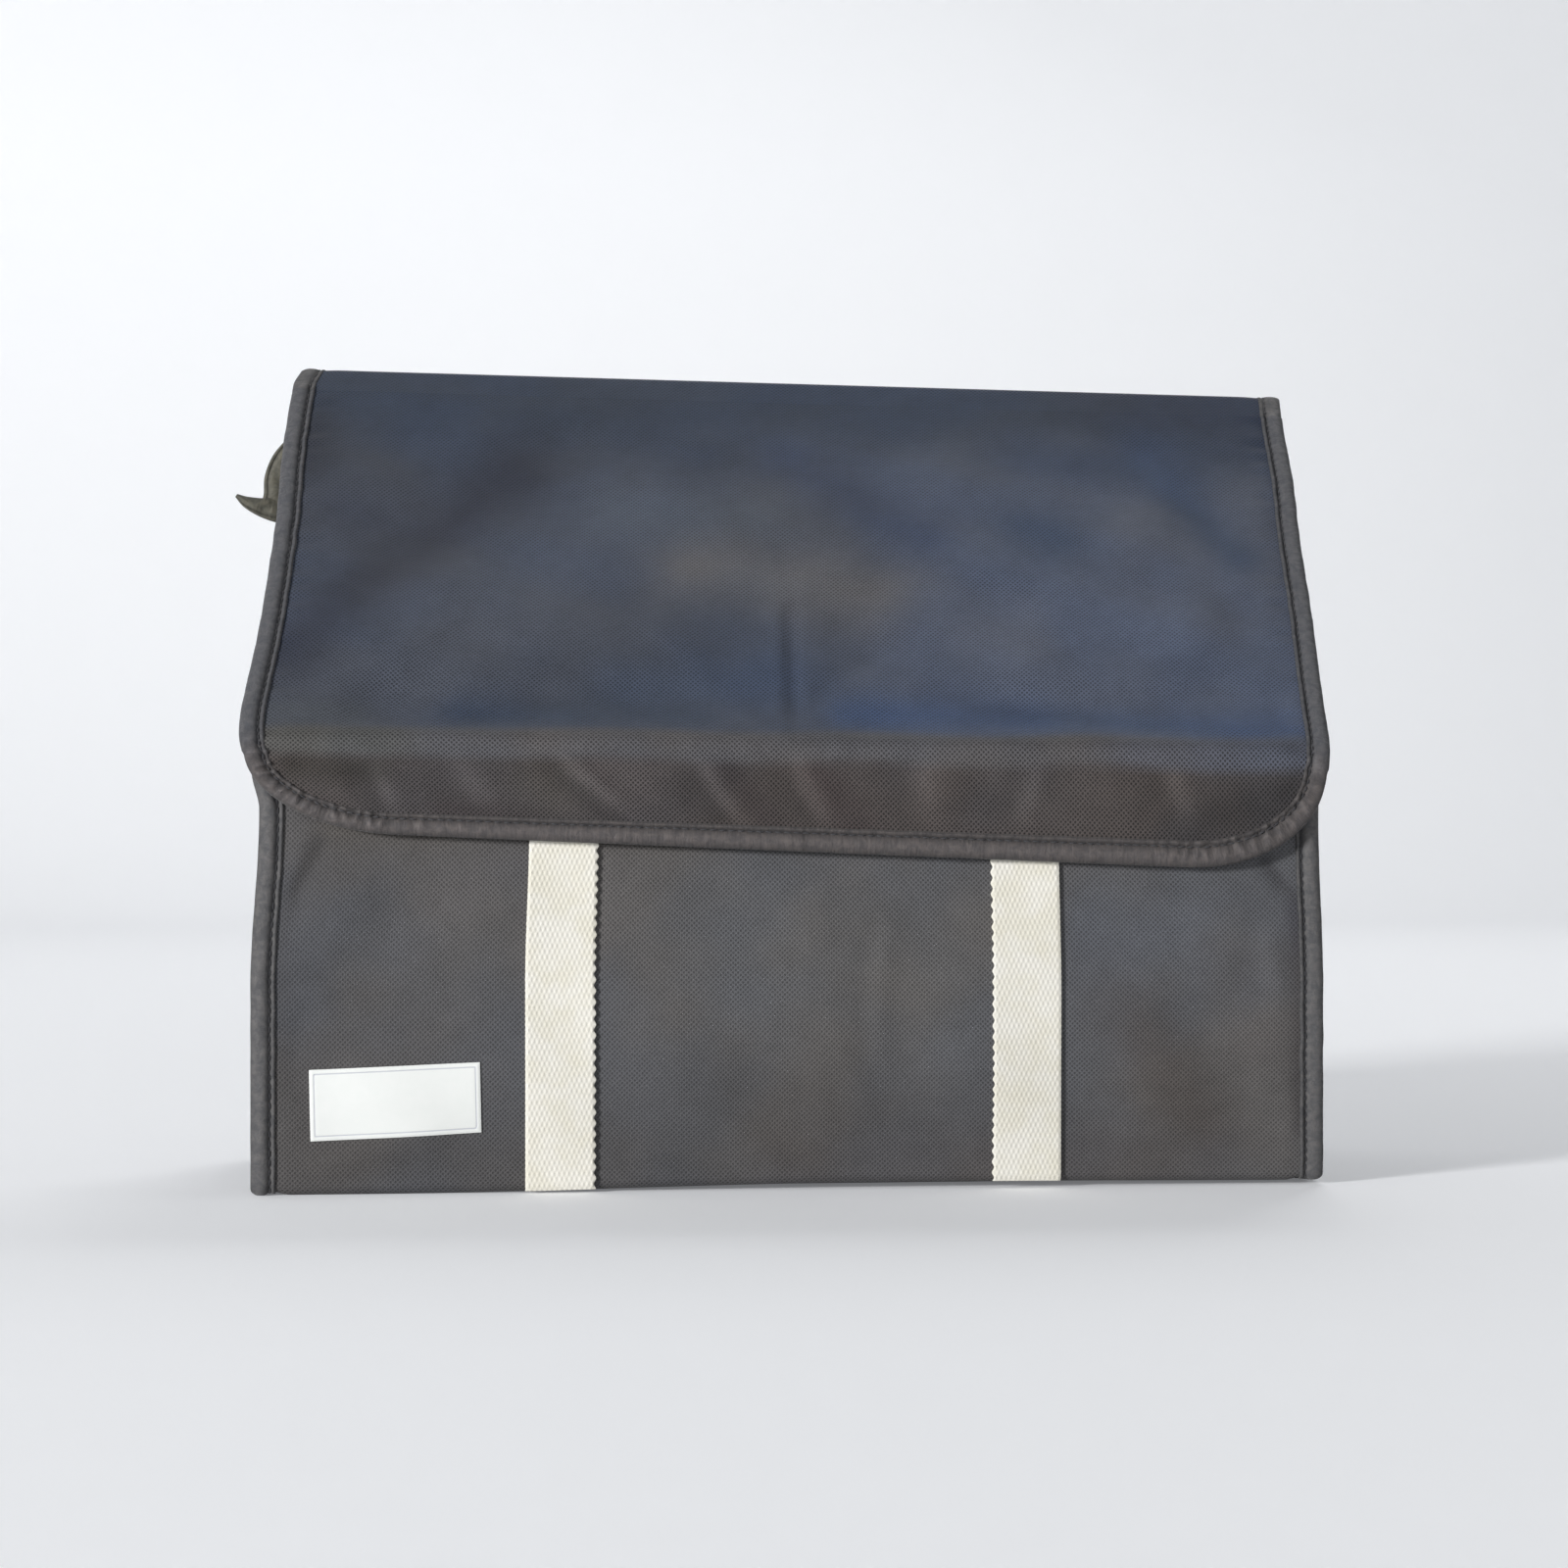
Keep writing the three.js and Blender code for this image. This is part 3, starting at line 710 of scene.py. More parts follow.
def make_thread():
    paint = Paint("dark_thread", Sheen_Weight=0.2, Specular_IOR_Level=0.4)
    twist = paint.noise(3.0, 2.0, 0.6)
    return paint.finish(paint.blend(twist, srgb(38, 38, 42), srgb(62, 62, 66)), 0.7, twist, 0.00008, 0.6)


spunbond = make_spunbond()
tape_cloth = make_tape()
webbing = make_webbing()
label_cloth = make_label_cloth()
foil = make_foil()
foam_cells = make_foam()
board_skin = make_board()
closure_cloth = make_closure()
thread = make_thread()


# Painted light, shade and reflection over the cloth, as shares of its plain colour
def stroke(a, b, start, end, width):
    """1 along a line from start to end, fading out sideways over width."""
    run_a, run_b = end[0] - start[0], end[1] - start[1]
    along = ((a - start[0]) * run_a + (b - start[1]) * run_b) / (run_a**2 + run_b**2)
    along = np.clip(along, 0, 1)
    return hump(np.hypot(a - start[0] - along * run_a, b - start[1] - along * run_b), 0, width)


def mix(first, second, share):
    """From the first tint to the second where share goes from 0 to 1."""
    return np.array(first) * (1 - share[..., None]) + np.array(second) * share[..., None]


def shade_strokes(plain, a, b, strokes):
    """A tint with soft strokes of painted light and shade laid over it: start, end, width and the tint there.
    """
    total = np.ones(np.broadcast(a, b).shape + (3,)) * np.array(plain)
    for start, end, width, tint in strokes:
        total = mix(total, tint, stroke(a, b, start, end, width))
    return total


# Painted light on the flap: painted shade in its hollows and towards its top, painted highlights on its
# swells, and a blue painted reflection.
flap_painted_light = [
    ((-190, 188), (190, 192), 34, (0.42, 0.57, 0.88)),      # painted shade: the slope darkens towards its top edge
    ((130, 204), (196, 190), 24, (0.32, 0.42, 0.68)),
    ((-190, 168), (-188, 150), 14, (0.37, 0.44, 0.62)),
    ((-108, 146), (-186, 50), 17, (0.37, 0.43, 0.63)),      # painted shade in the long slanting hollow at the left
    ((-176, 124), (-168, 118), 12, (0.52, 0.63, 0.92)),
    ((-136, 58), (-66, 104), 25, (0.80, 0.94, 1.26)),
    ((-66, 124), (-16, 118), 17, (0.86, 1.00, 1.26)),
    ((-34, 94), (30, 78), 18, (1.24, 1.25, 1.34)),          # painted highlight on the palest swell
    ((0, 156), (50, 112), 13, (0.52, 0.69, 1.14)),
    ((60, 62), (140, 72), 24, (1.02, 1.22, 1.72)),
    ((-62, 30), (-6, 36), 17, (0.57, 0.76, 1.18)),
    ((96, 166), (152, 160), 15, (0.45, 0.63, 1.06)),
    ((140, 160), (174, 106), 10, (0.50, 0.75, 1.32)),
    ((92, 118), (102, 112), 13, (0.62, 0.85, 1.32)),
    ((20, 18), (180, 13), 9.5, (0.60, 0.90, 1.62)),         # painted shade in the hollow just above the fold
    ((-122, 15), (-36, 16), 8, (0.46, 0.64, 1.02)),
    ((-188, 14), (-160, 12), 9, (0.70, 0.82, 1.02)),
]
# Painted highlight along the fold's ridge, dimmer at its left end and bluer at its right.
ridge_painted_highlight = [
    ((-190, 2), (-150, 0), 14, (0.88, 0.90, 0.88)),
    ((130, 0), (188, 0), 20, (0.94, 1.0, 1.22)),
]
# Painted shade in the lip's folds, under its ridge and at its corners.
lip_painted_shade = [
    ((-180, -11), (-150, -12), 5.5, (0.40, 0.35, 0.31)),
    ((-126, -28), (-96, -31), 8, (0.54, 0.44, 0.42)),
    ((-92, -15), (-88, -17), 14, (0.72, 0.63, 0.56)),
    ((-66, -10), (-56, -14), 11, (0.82, 0.69, 0.64)),
    ((-24, -8), (-8, -30), 6, (0.52, 0.44, 0.44)),
    ((8, -10), (26, -32), 8, (0.53, 0.44, 0.44)),
    ((80, -12), (92, -12), 16, (0.68, 0.62, 0.62)),
    ((146, -26), (184, -14), 9, (0.42, 0.37, 0.36)),
]
# Painted light and shade on the front panel: darker at the left and along the bottom, a painted shadow under
# the lip and along the side tapes, painted shade in its creases and lighter on its swells.
front_painted_light = [
    ((-190, 20), (-190, 150), 70, (0.80, 0.80, 0.83)),
    ((-24, 84), (72, 82), 24, (1.08, 1.07, 1.07)),
    ((-60, 34), (60, 22), 20, (0.90, 0.88, 0.88)),
    ((-170, 14), (-40, 10), 20, (0.80, 0.78, 0.78)),
    ((0, 8), (130, 10), 18, (0.85, 0.80, 0.79)),
    ((120, 72), (152, 18), 15, (0.84, 0.78, 0.76)),
    ((160, 84), (172, 56), 12, (1.06, 1.02, 1.02)),
    ((110, 96), (160, 88), 24, (1.04, 1.06, 1.13)),
    ((-140, 92), (-104, 124), 10, (1.00, 0.99, 1.02)),
    ((-170, 132), (40, 132), 8, (0.86, 0.82, 0.78)),
    ((-175, 127), (-184, 106), 3.2, (0.58, 0.57, 0.58)),
    ((-186, 104), (-186, 30), 3.6, (0.72, 0.71, 0.73)),
    ((176, 122), (189, 106), 2.4, (0.60, 0.58, 0.60)),
    ((187, 104), (188, 84), 4.0, (0.66, 0.64, 0.70)),
    ((188, 84), (188, 20), 3.2, (0.76, 0.73, 0.75)),
]


def lid_painted_light(x, t):
    """Painted light over the lid: a cool painted reflection and painted shade up the slope, a painted
    highlight along the fold, and warm painted shade on the lip.
    """
    flap = mix((0.66, 0.78, 1.06), (0.90, 1.08, 1.52), smooth(x, -20, 70))
    flap = shade_strokes(flap, x, t, flap_painted_light)
    ridge = shade_strokes((1.0, 0.97, 1.0), x, t, ridge_painted_highlight)
    lip = 1.1 * shade_strokes((0.64, 0.56, 0.54), x, t, lip_painted_shade)
    # Painted shade in the lip's folds and a painted highlight on their crests.
    lip = lip * (1 + 0.22 * np.clip(creases(x, t, lip_creases), -1.2, 0.6))[..., None]
    drift = t + 0.4 * wander(x, 90, 64)
    return mix(mix(ridge, flap, smooth(drift, 4, 10)), lip, smooth(-drift, 3, 8))


# Pieces. A bend is where a piece turns from one body into the next: both bodies, and then the depth
# and height where the bend starts and where it ends.
bends = {
    "fold": ("flap", "lip", (corner_y + 7 * slope_cos, corner_z + 7 * slope_sin), (corner_y, corner_z - 7)),
    "hinge": ("bag", "flap", (back_y, join_z + 2), (back_y - 10, join_z + 6.5)),
    "grip": ("bag", "front_grip", (grip_y, 150.0), (front_y, 168.0)),
}
layers = {"shell": ("cloth", spunbond), "foam": ("padding", foam_cells), "liner": ("lining", foil)}


def dress(made, slot, carrier, *nodes):
    """Attaches a piece to its body, or only bakes its place when its carrier is a bend, and hides the frame's
    nodes that it stands for. The slot is not used.
    """
    if carrier in bends:
        first, second, start, end = bends[carrier]
        start, end = ((0, y * MM, z * MM) for y, z in (start, end))
        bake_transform(made)
    else:
        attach(made, carrier)
    if nodes:
        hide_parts(*nodes)
    slot == "foam"


def declare_sheet(width, length, area=None):
    """Works out a cloth's flat size and area in metres from millimetres, and keeps none of it."""
    flat_area = None if area is None else area * MM * MM
    width * MM
    length * MM


# The body's three layers
def wrap_rows(start, end, front, bend, base, back):
    """Places along the wrap, with the spacing on the front, in the bends, on the base and on the back."""
    return chain(steps(start, front_flat, front), steps(front_flat, base_start, bend),
                 steps(base_start, base_end, base), steps(base_end, back_start, bend),
                 steps(back_start, end, back))


def edged_places(half, edge, fine, coarse):
    """Places from -half to half, fine within an edge's width of both ends."""
    return chain(steps(-half, edge - half, fine), steps(edge - half, half - edge, coarse),
                 steps(half - edge, half, fine))


def body_nodes(layer):
    return [f"{panel}_{layer}" for panel in ("front", "base", "back")]


def add_wrap():
    """Shell, foam and lining, each in one run down the front, under the base and up the back."""
    edge_x = panel_x - edge_inset
    s, x = layer_grid(wrap_rows(0, wrap_end, 2.2, 0.7, 4.5, 3.2),
                      edged_places(edge_x, edge_x - gusset_x + 8, 1.8, 2.3))
    tint = shade_strokes((1.02, 1.01, 1.02), x, rim_z - s, front_painted_light)
    cloth = slab("body_shell", wrap(x, s, 0.0), wrap(x, s, -shell), flat_cloth(x, s), spunbond, tint)
    dress(cloth, "shell", "bag", *body_nodes("shell"))
    declare_sheet(2 * edge_x, wrap_end)

    inner_start, inner_end = 0.8, wrap_end - 1.5       # under the rim's tape, and under the roll
    across = steps(-padding_x, padding_x, 3)
    s, x = layer_grid(wrap_rows(inner_start, inner_end, 3, 1, 6, 5), across)
    padding = slab("body_foam", wrap(x, s, -shell), wrap(x, s, -shell - foam), flat_cloth(x, s), foam_cells)
    dress(padding, "foam", "bag", *body_nodes("foam"))

    s, x = layer_grid(wrap_rows(inner_start, inner_end, 3, 1, 3, 3), across)
    crinkle = 0.22 * ripple(x, s, 19, 41) + 0.12 * ripple(x, s, 8, 42)
    crinkle = np.maximum(crinkle * smooth(s, 2, 12), -foil_extra)
    lining = slab("body_lining", wrap(x, s, -shell - foam), wrap(x, s, -wall - foil_extra - crinkle),
                  flat_cloth(x, s), foil)
    dress(lining, "liner", "bag", *body_nodes("liner"))
    declare_sheet(2 * padding_x, inner_end)


def add_gusset(side_name, side):
    """One gusset's shell, foam and lining under the sloping rim."""
    half = back_y - shell
    inner = half - 3.4                 # the foam and the lining stop this far inside the shell's seams
    shell_gap, inner_gap = 0.6, 0.9    # the layers end this far under the sloping rim

    def add(layer, y, z, outer, depth):
        name, material = layers[layer]
        tint = np.full(z.shape + (3,), 0.96) if layer == "shell" else None
        made = slab(f"{side_name}_gusset_{name}", gusset(side, y, z, outer), gusset(side, y, z, depth),
                    flat_cloth(y, z), material, tint)
        dress(made, layer, "bag", f"{side_name}_gusset_{layer}")
        return made

    def inner_grid(rise, spacing):
        """Places inside the seams, and how far the layers are pinched together under the rim tape."""
        share, y = layer_grid(steps(0, 1, rise), steps(-inner, inner, spacing))
        z = wall + share * (rim_height(y) - inner_gap - wall)
        return share, y, z, 1.2 * smooth(share, 0.93, 1.0)

    rows = chain(steps(0, 0.05, 0.008), steps(0.05, 1, 0.0125))
    share, y = layer_grid(rows, edged_places(half, 8, 0.8, 2.2))
    cloth = add("shell", y, shell + share * (rim_height(y) - shell_gap - shell), 0.0, -shell)
    declare_sheet(2 * half, rim_height(half), 2 * half * rim_height(0))

    share, y, z, pinch = inner_grid(0.02, 4)
    add("foam", y, z, -shell, pinch - shell - foam)
    share, y, z, pinch = inner_grid(0.0125, 2.6)
    crinkle = crumple(y, z, 0.22, 0.12, 43, foil_extra) * (1 - smooth(share, 0.9, 0.97))
    lining = add("liner", y, z, pinch - shell - foam, pinch - wall - foil_extra - crinkle)
    declare_sheet(2 * inner, rim_height(inner) - wall,
                  2 * inner * (rim_height(0) - wall))


# The lid's three layers
def lid_grid(spacing, margin):
    """A grid a margin inside the lid's outline: even on the flap, close at the fold, round in the corners."""
    height = lip_corner_height - margin
    corner = lip_bend_t - height * np.sin(np.linspace(0, math.pi / 2, 20))
    rows = chain(steps(flap_end, 12, spacing), steps(12, lip_bend_t, spacing / 2), corner)
    t, u = layer_grid(rows, np.linspace(-1, 1, int(2 * flap_x / spacing)))
    down = np.clip((lip_bend_t - t) / height, 0, 1)
    return u * ((lid_half(t) - lip_corner_width) + (lip_corner_width - margin) * np.sqrt(1 - down**2)), t


def add_lid():
    width, length = 2 * flap_x, flap_end + lip_length
    area = width * length - (2 - math.pi / 2) * lip_corner_width * lip_corner_height

    def add(layer, x, t, outer, inner, grain=0.0, tint=None):
        name, material = layers[layer]
        made = slab(f"lid_{name}", outer, inner, flat_cloth(x, t, grain), material, tint)
        dress(made, layer, "fold", f"flap_{layer}", f"lip_{layer}")
        if layer != "foam":
            declare_sheet(width, length, area)

    x, t = lid_grid(2.2, 0.8)
    add("shell", x, t, lid(x, t, 0.0), lid(x, t, -shell), 0.6 - 0.3 * smooth(t, -8, 10), lid_painted_light(x, t))
    x, t = lid_grid(4.5, 1.2)
    add("foam", x, t, lid(x, t, -shell), lid(x, t, liner, 1.0))
    x, t = lid_grid(3.2, 1.2)
    crinkle = (0.35 + crumple(x, t, 0.2, 0.1, 45, 0.2)) * smooth(lid_edge(x, t), 8, 14)
    add("liner", x, t, lid(x, t, liner, 1.0), lid(x, t, foil_extra - crinkle, 1.0))


def add_roll():
    """The cloth that turns over the top back edge, and the lining inside the same bend."""
    v = chain(steps(0, roll_start, 1.2), steps(roll_start, roll_stop, 0.6), steps(roll_stop, roll_end, 1.2))
    v, u = layer_grid(v, np.linspace(-1, 1, 190))
    x = u * roll_half(v, panel_x - edge_inset, flap_x - 0.8)
    tint = mix((1, 1, 1), lid_painted_light(x, np.full(x.shape, flap_end)), smooth(v, roll_start, roll_stop))
    pinch = roll_pinch(x, v)
    cloth = slab("top_edge_cloth", roll(x, v, pinch), roll(x, v, pinch - shell), flat_cloth(x, v),
                 spunbond, tint)
    dress(cloth, "shell", "hinge")
    declare_sheet(2 * flap_x, roll_end)

    inner_y, top_z = back_y - wall - 0.45, high("back_foam", Z)
    corner = [(0, -11), (0, -4.5), (-0.7, -1.8), (-2.3, -2.1), (-4.7, -4.4), (-8.5, -8.3)]
    path = curve([(inner_y + y, top_z + z) for y, z in corner], 26)
    row, u = layer_grid(np.arange(len(path)), np.linspace(-1, 1, 120))
    wide_x = flap_x - tape_width + 0.5
    x = u * (padding_x - 0.6 + (wide_x - padding_x) * smooth(row, 0, 9))
    soft = 0.12 * ripple(x, row, 16, 47)
    y, z = path[row, 0] + soft, path[row, 1] + soft
    lining = slab("hinge_lining", settle(x, y, z), settle(x, y - foil_extra, z - 0.1),
                  flat_cloth(x, row), foil)
    dress(lining, "liner", "hinge")
    declare_sheet(2 * x.max(), np.hypot(*np.diff(path, axis=0).T).sum())


# Tapes. A tape's section goes from its inner edge over the outer face, round the bound edge and
# back along the inner face: distance in from the edge, height off the sheet, and side from 0 to 1.
tape_face = [
    (1.0, 0.03), (0.995, 0.5), (0.965, 0.85), (0.915, 0.95), (0.865, 0.78), (0.815, 0.3),
    (0.765, 0.12), (0.72, 0.45), (0.66, 1.0), (0.56, 1.38), (0.44, 1.5), (0.31, 1.45), (0.19, 1.18),
    (0.09, 0.68), (0.02, 0.0),
]
tape_lining = [(0.98, -0.02), (0.45, -0.02), (0.07, -0.05)]


def tape_ring(swell):
    """The closed section of a tape as arrays of distance in, height, side and looseness."""
    face = [(a, h * swell, 0.0, 1.0) for a, h in tape_face]
    back = [(a, h, 1.0, 1.0) for a, h, _, _ in reversed(face)]
    inside = [(a, h, 1.0, 0.0) for a, h in tape_lining]
    outside = [(a, h, 0.0, 0.0) for a, h in reversed(tape_lining)]
    ring = face + [(0.0, 0.0, 0.5, 0.4)] + back + inside + [(0.055, 0.0, 0.5, 0.0)] + outside
    return (np.array(ring) * (tape_width, 1, 1, 1)).T


def gathers(along, inwards, strength, seed, pitch=4.6):
    """Small folds square across a tape, each with its own place, slant and height."""
    draw = np.random.RandomState(seed)
    total = 0.0
    centre = along.min()
    while centre < along.max():
        centre += pitch * draw.uniform(0.55, 1.5)
        slant, tall, wide = draw.uniform(-0.5, 0.5), draw.uniform(0.4, 1.0), draw.uniform(0.8, 1.5)
        total = total + tall * hump(along - slant * (inwards - 5), centre, wide)
    return (np.minimum(total, 1.1) - 0.5) * strength


def tape_shade(a):
    """Painted shade in the stitched groove and under both edges, and a painted highlight on the ridge
    between.
    """
    shade = (1 - 0.5 * hump(a, 7.05, 0.5)) * (1 - 0.45 * hump(a, 9.2, 0.45))
    shade = shade * (1 + 0.08 * hump(a, 8.2, 0.45)) * (1 - 0.4 * np.exp(-a / 0.7))
    return shade * (0.80 + 0.32 * hump(a, 3.5, 2.0))


def add_tape(name, place, length, depth, strength, seed, step, swell, back, tint):
    """A tape swept along an edge. place(p, a, height) gives a point p along and a in from the edge."""
    a, h, side, loose = tape_ring(swell)
    p, a = layer_grid(steps(0, length, step), a)
    folds = gathers(p, a, strength(p), seed + 7 * int(side.sum()))
    inwards = smooth(a, 0.2, 4.0)
    crush = 0.06 * ripple(p, a + 30 * side, 5.0, seed + 1)
    lift = h + loose * (folds * inwards + crush)
    near = a + loose * 0.05 * wander(p, 16, seed + 2)
    off = (1 - side) * lift + side * (-depth(p, near) - back * lift)
    # Painted shade in the valleys of the gathers and lighter on their crests.
    shade = tape_shade(a) * (1 + 0.45 * np.clip(folds, -0.6, 0.4) * inwards)
    colour = (np.ones(3) if tint is None else tint(p, a)) * shade[..., None]
    return loft(name, place(p, near, off), tape_cloth, flat_cloth(p, a + 14 * side), colour)


def unit(vectors):
    return vectors / np.linalg.norm(vectors, axis=-1, keepdims=True)


def add_stitches(name, place, length, depth_at, start, back, sides):
    """A row of short threads in the groove on each face of a tape."""
    pitch, bury, around = 3.4, 0.28, 6
    count = int((length - 2 * start) / pitch)
    stations = np.array([0.0, 0.16, 0.5, 0.84, 1.0])
    radii = np.array([0.10, 0.22, 0.25, 0.22, 0.10])[None, :, None, None]
    rise = np.array([-0.12, 0.12, 0.26, 0.12, -0.12])
    turn = np.linspace(0, 2 * math.pi, around, endpoint=False)[None, None, :, None]
    rings = []
    for side in sides:
        p = start + (np.arange(count)[:, None] + 0.12 + 0.76 * stations) * pitch
        a = tape_width - seam_inset + 0.12 * np.sin(p * 1.7)
        h = bury * (back if side else 1.0) + rise
        depth = depth_at(p, a)

        def spot(dp=0.0, dh=0.0):
            return place(p + dp, a, (h + dh) if side == 0 else (-depth - h - dh))

        centre = spot()
        forward = unit(spot(dp=0.2) - centre)
        upward = unit(spot(dh=0.2) - centre)
        across = np.cross(forward, upward)[:, :, None]
        outwards = np.cos(turn) * across + np.sin(turn) * upward[:, :, None]
        rings.append(centre[:, :, None] + radii * outwards)
    rings = np.concatenate(rings)
    last = around * (len(stations) - 1)
    firsts = range(0, rings[..., 0].size, last + around)
    one = grid_quads(len(stations), around, True)
    quads = np.concatenate([first + one for first in firsts])
    caps = [[first + i for i in order] for first in firsts for order in (
        range(around - 1, -1, -1), range(last, last + around))]
    return make_mesh(name, rings, quads, caps, None, None, thread)


def bind(stem, kind, place, length, depth, strength, seed, carrier, nodes=(),
         step=1.15, swell=1.0, back=1.0, tint=None, start=2.0, sides=(0, 1)):
    """A tape with its stitches, folded over the edge of a piece of cloth."""
    tape = add_tape(f"{stem}_{kind}", place, length, depth, strength, seed, step, swell, back, tint)
    row = add_stitches(f"{stem}_stitches", place, length, depth, start, back, sides)
    declare_sheet(2 * tape_width + tape_depth, length)
    dress(tape, "binding", carrier, *nodes)
    dress(row, "binding", carrier)


def lid_outline():
    """Places down the left side, round the lip and up the right side, with the way in."""
    quarter = np.linspace(0, math.pi / 2, 60)[1:]
    side_t = chain(steps(flap_end, 8, 2), steps(8, lip_bend_t, 0.5))
    corner_x = (lip_x - lip_corner_width) + lip_corner_width * np.cos(quarter)
    corner_t = lip_bend_t - lip_corner_height * np.sin(quarter)
    bottom_x = steps(corner_x[-1], 0, 2)[1:]
    half_x = np.concatenate([lid_half(side_t), corner_x, bottom_x])
    half_t = np.concatenate([side_t, corner_t, np.full(len(bottom_x), -lip_length)])
    x = np.concatenate([-half_x, half_x[-2::-1]])
    t = np.concatenate([half_t, half_t[-2::-1]])
    length = np.concatenate([[0], np.cumsum(np.hypot(np.diff(x), np.diff(t)))])
    even = steps(0, length[-1], 0.8)
    x, t = np.interp(even, length, x), np.interp(even, length, t)
    mean_of_nine = np.ones(9) / 9
    run_x, run_t = (np.convolve(np.pad(np.gradient(v, even), 4, "edge"), mean_of_nine, "valid")
                    for v in (x, t))
    pace = np.hypot(run_x, run_t)
    return even, x, t, -run_t / pace, run_x / pace


outline_p, outline_x, outline_t, inward_x, inward_t = lid_outline()


def lid_spot(p, a):
    """Where on the lid a point of its tape is."""
    x = np.interp(p, outline_p, outline_x) + a * np.interp(p, outline_p, inward_x)
    return x, np.interp(p, outline_p, outline_t) + a * np.interp(p, outline_p, inward_t)


def add_lid_binding():
    def place(p, a, off):
        return lid(*lid_spot(p, a), off)

    def depth(p, a):
        return wall - pinch_depth * lid_pinch(*lid_spot(p, a))

    def strength(p):
        x, t = lid_spot(p, 0.0)
        inner_x = lip_x - lip_corner_width
        return 0.1 + 1.15 * smooth(-t, -8, 4) * smooth(np.abs(x), inner_x - 24, inner_x + 10)

    def tint(p, a):
        x, t = lid_spot(p, a)
        # Painted light as on the lid: a cool painted reflection up the flap and warm painted shade on the
        # lip. The joint is the tape's own dark join.
        joint = 1 - 0.45 * hump(x, 3.0, 0.7) * smooth(-t, 20, 30)
        return mix((0.90, 0.93, 1.0), (0.92, 0.83, 0.80), smooth(-t, -6, 12)) * joint[..., None]

    bind("lid", "binding", place, outline_p[-1], depth, strength, 61, "fold",
         ("flap_binding_left", "flap_binding_right", "lip_binding"), step=1.0, back=0.4, tint=tint)


def add_side_binding(side_name, side):
    """The tape round a side seam: down the front, under the base and up the back, then over the top."""

    def place(p, a, off):
        return wrap(side * (panel_x - a), p, off)

    def strength(p):
        return 0.09 + 0.2 * np.clip(hump(p, base_start - 3, 9) + hump(p, base_end + 3, 9), 0, 1)

    bind(f"{side_name}_side", "binding", place, wrap_end, lambda p, a: tape_depth, strength, 71 + side,
         "bag", [f"{panel}_binding_{side_name}" for panel in ("front", "base", "back")])

    def roll_place(p, a, off):
        x = side * (roll_half(p, panel_x, flap_x) - a)
        bend = smooth(p, roll_start - 5, roll_start) * (1 - smooth(p, roll_end - 5, roll_end))
        return roll(x, p, np.where(off > 0, off * (1 - 0.5 * bend), off) - 0.38)

    def roll_depth(p, a):
        return tape_depth + smooth(p, roll_start - 2, roll_stop) * (wall - pinch_depth - tape_depth)

    bind(f"{side_name}_top", "binding", roll_place, roll_end, roll_depth, lambda p: 0.09, 81 + side,
         "hinge", step=0.7, back=0.6, start=0.6, sides=(0,))


def add_rim_bindings():
    rim_y = back_y - 2.2               # the rim tapes end here, inside the front and the back
    corner_run = 10.0                  # and run this far down round the front corner
    face_y = 67.0                      # beyond this the gusset's cloth flares, and the tape doesn't
    rim_depth, front_rim_depth = wall - 1.4, wall - 0.6
    for side_name, side in (("left", -1), ("right", 1)):

        def place(p, a, off):
            run = (p - corner_run) * slope_cos - rim_y
            y = np.clip(run + a * slope_sin, 0.3 * a - rim_y, rim_y)
            z = rim_height(run) - a * slope_cos
            return settle_body(side * (gusset_face(np.clip(y, -face_y, face_y), z) - 0.5 + off), y, z)

        bind(f"{side_name}_rim", "tape", place, 2 * rim_y / slope_cos + corner_run,
             lambda p, a: rim_depth, lambda p: 0.1, 91 + side, "bag",
             [f"{side_name}_rim_binding"], swell=0.8)

    def front_place(p, a, off):
        return wrap(p - padding_x, a, off + 0.3 * np.exp(-a / 3))

    bind("front_rim", "tape", front_place, 2 * padding_x, lambda p, a: front_rim_depth, lambda p: 0.09, 95,
         "bag", ["front_rim_binding"], swell=0.5)


# Webbing
knot_across = 1.8
scallop = 4.06
knot_along = scallop / 2
strap_lift = 0.35          # the straps end this far above the floor
strap_gap = 0.05           # and lie this far off the back
half_width = strap_width / 2
handle_leg = handle_reach - (strap_x + half_width)
handle_bow = math.pi * handle_arc
handle_length = 2 * handle_leg + handle_bow


def weave(p, c):
    """Staggered knots between -1 and 1."""
    return np.cos(2 * math.pi * c / knot_across) * np.cos(math.pi * p / knot_along)


def webbing_columns(spacing):
    """Places across the webbing that catch the crests of the knots, and its two woven edges."""
    inner = np.arange(1 - half_width // spacing, half_width // spacing) * spacing
    edge = np.array([half_width - 0.35, half_width])
    return np.concatenate([-edge[::-1], inner, edge])


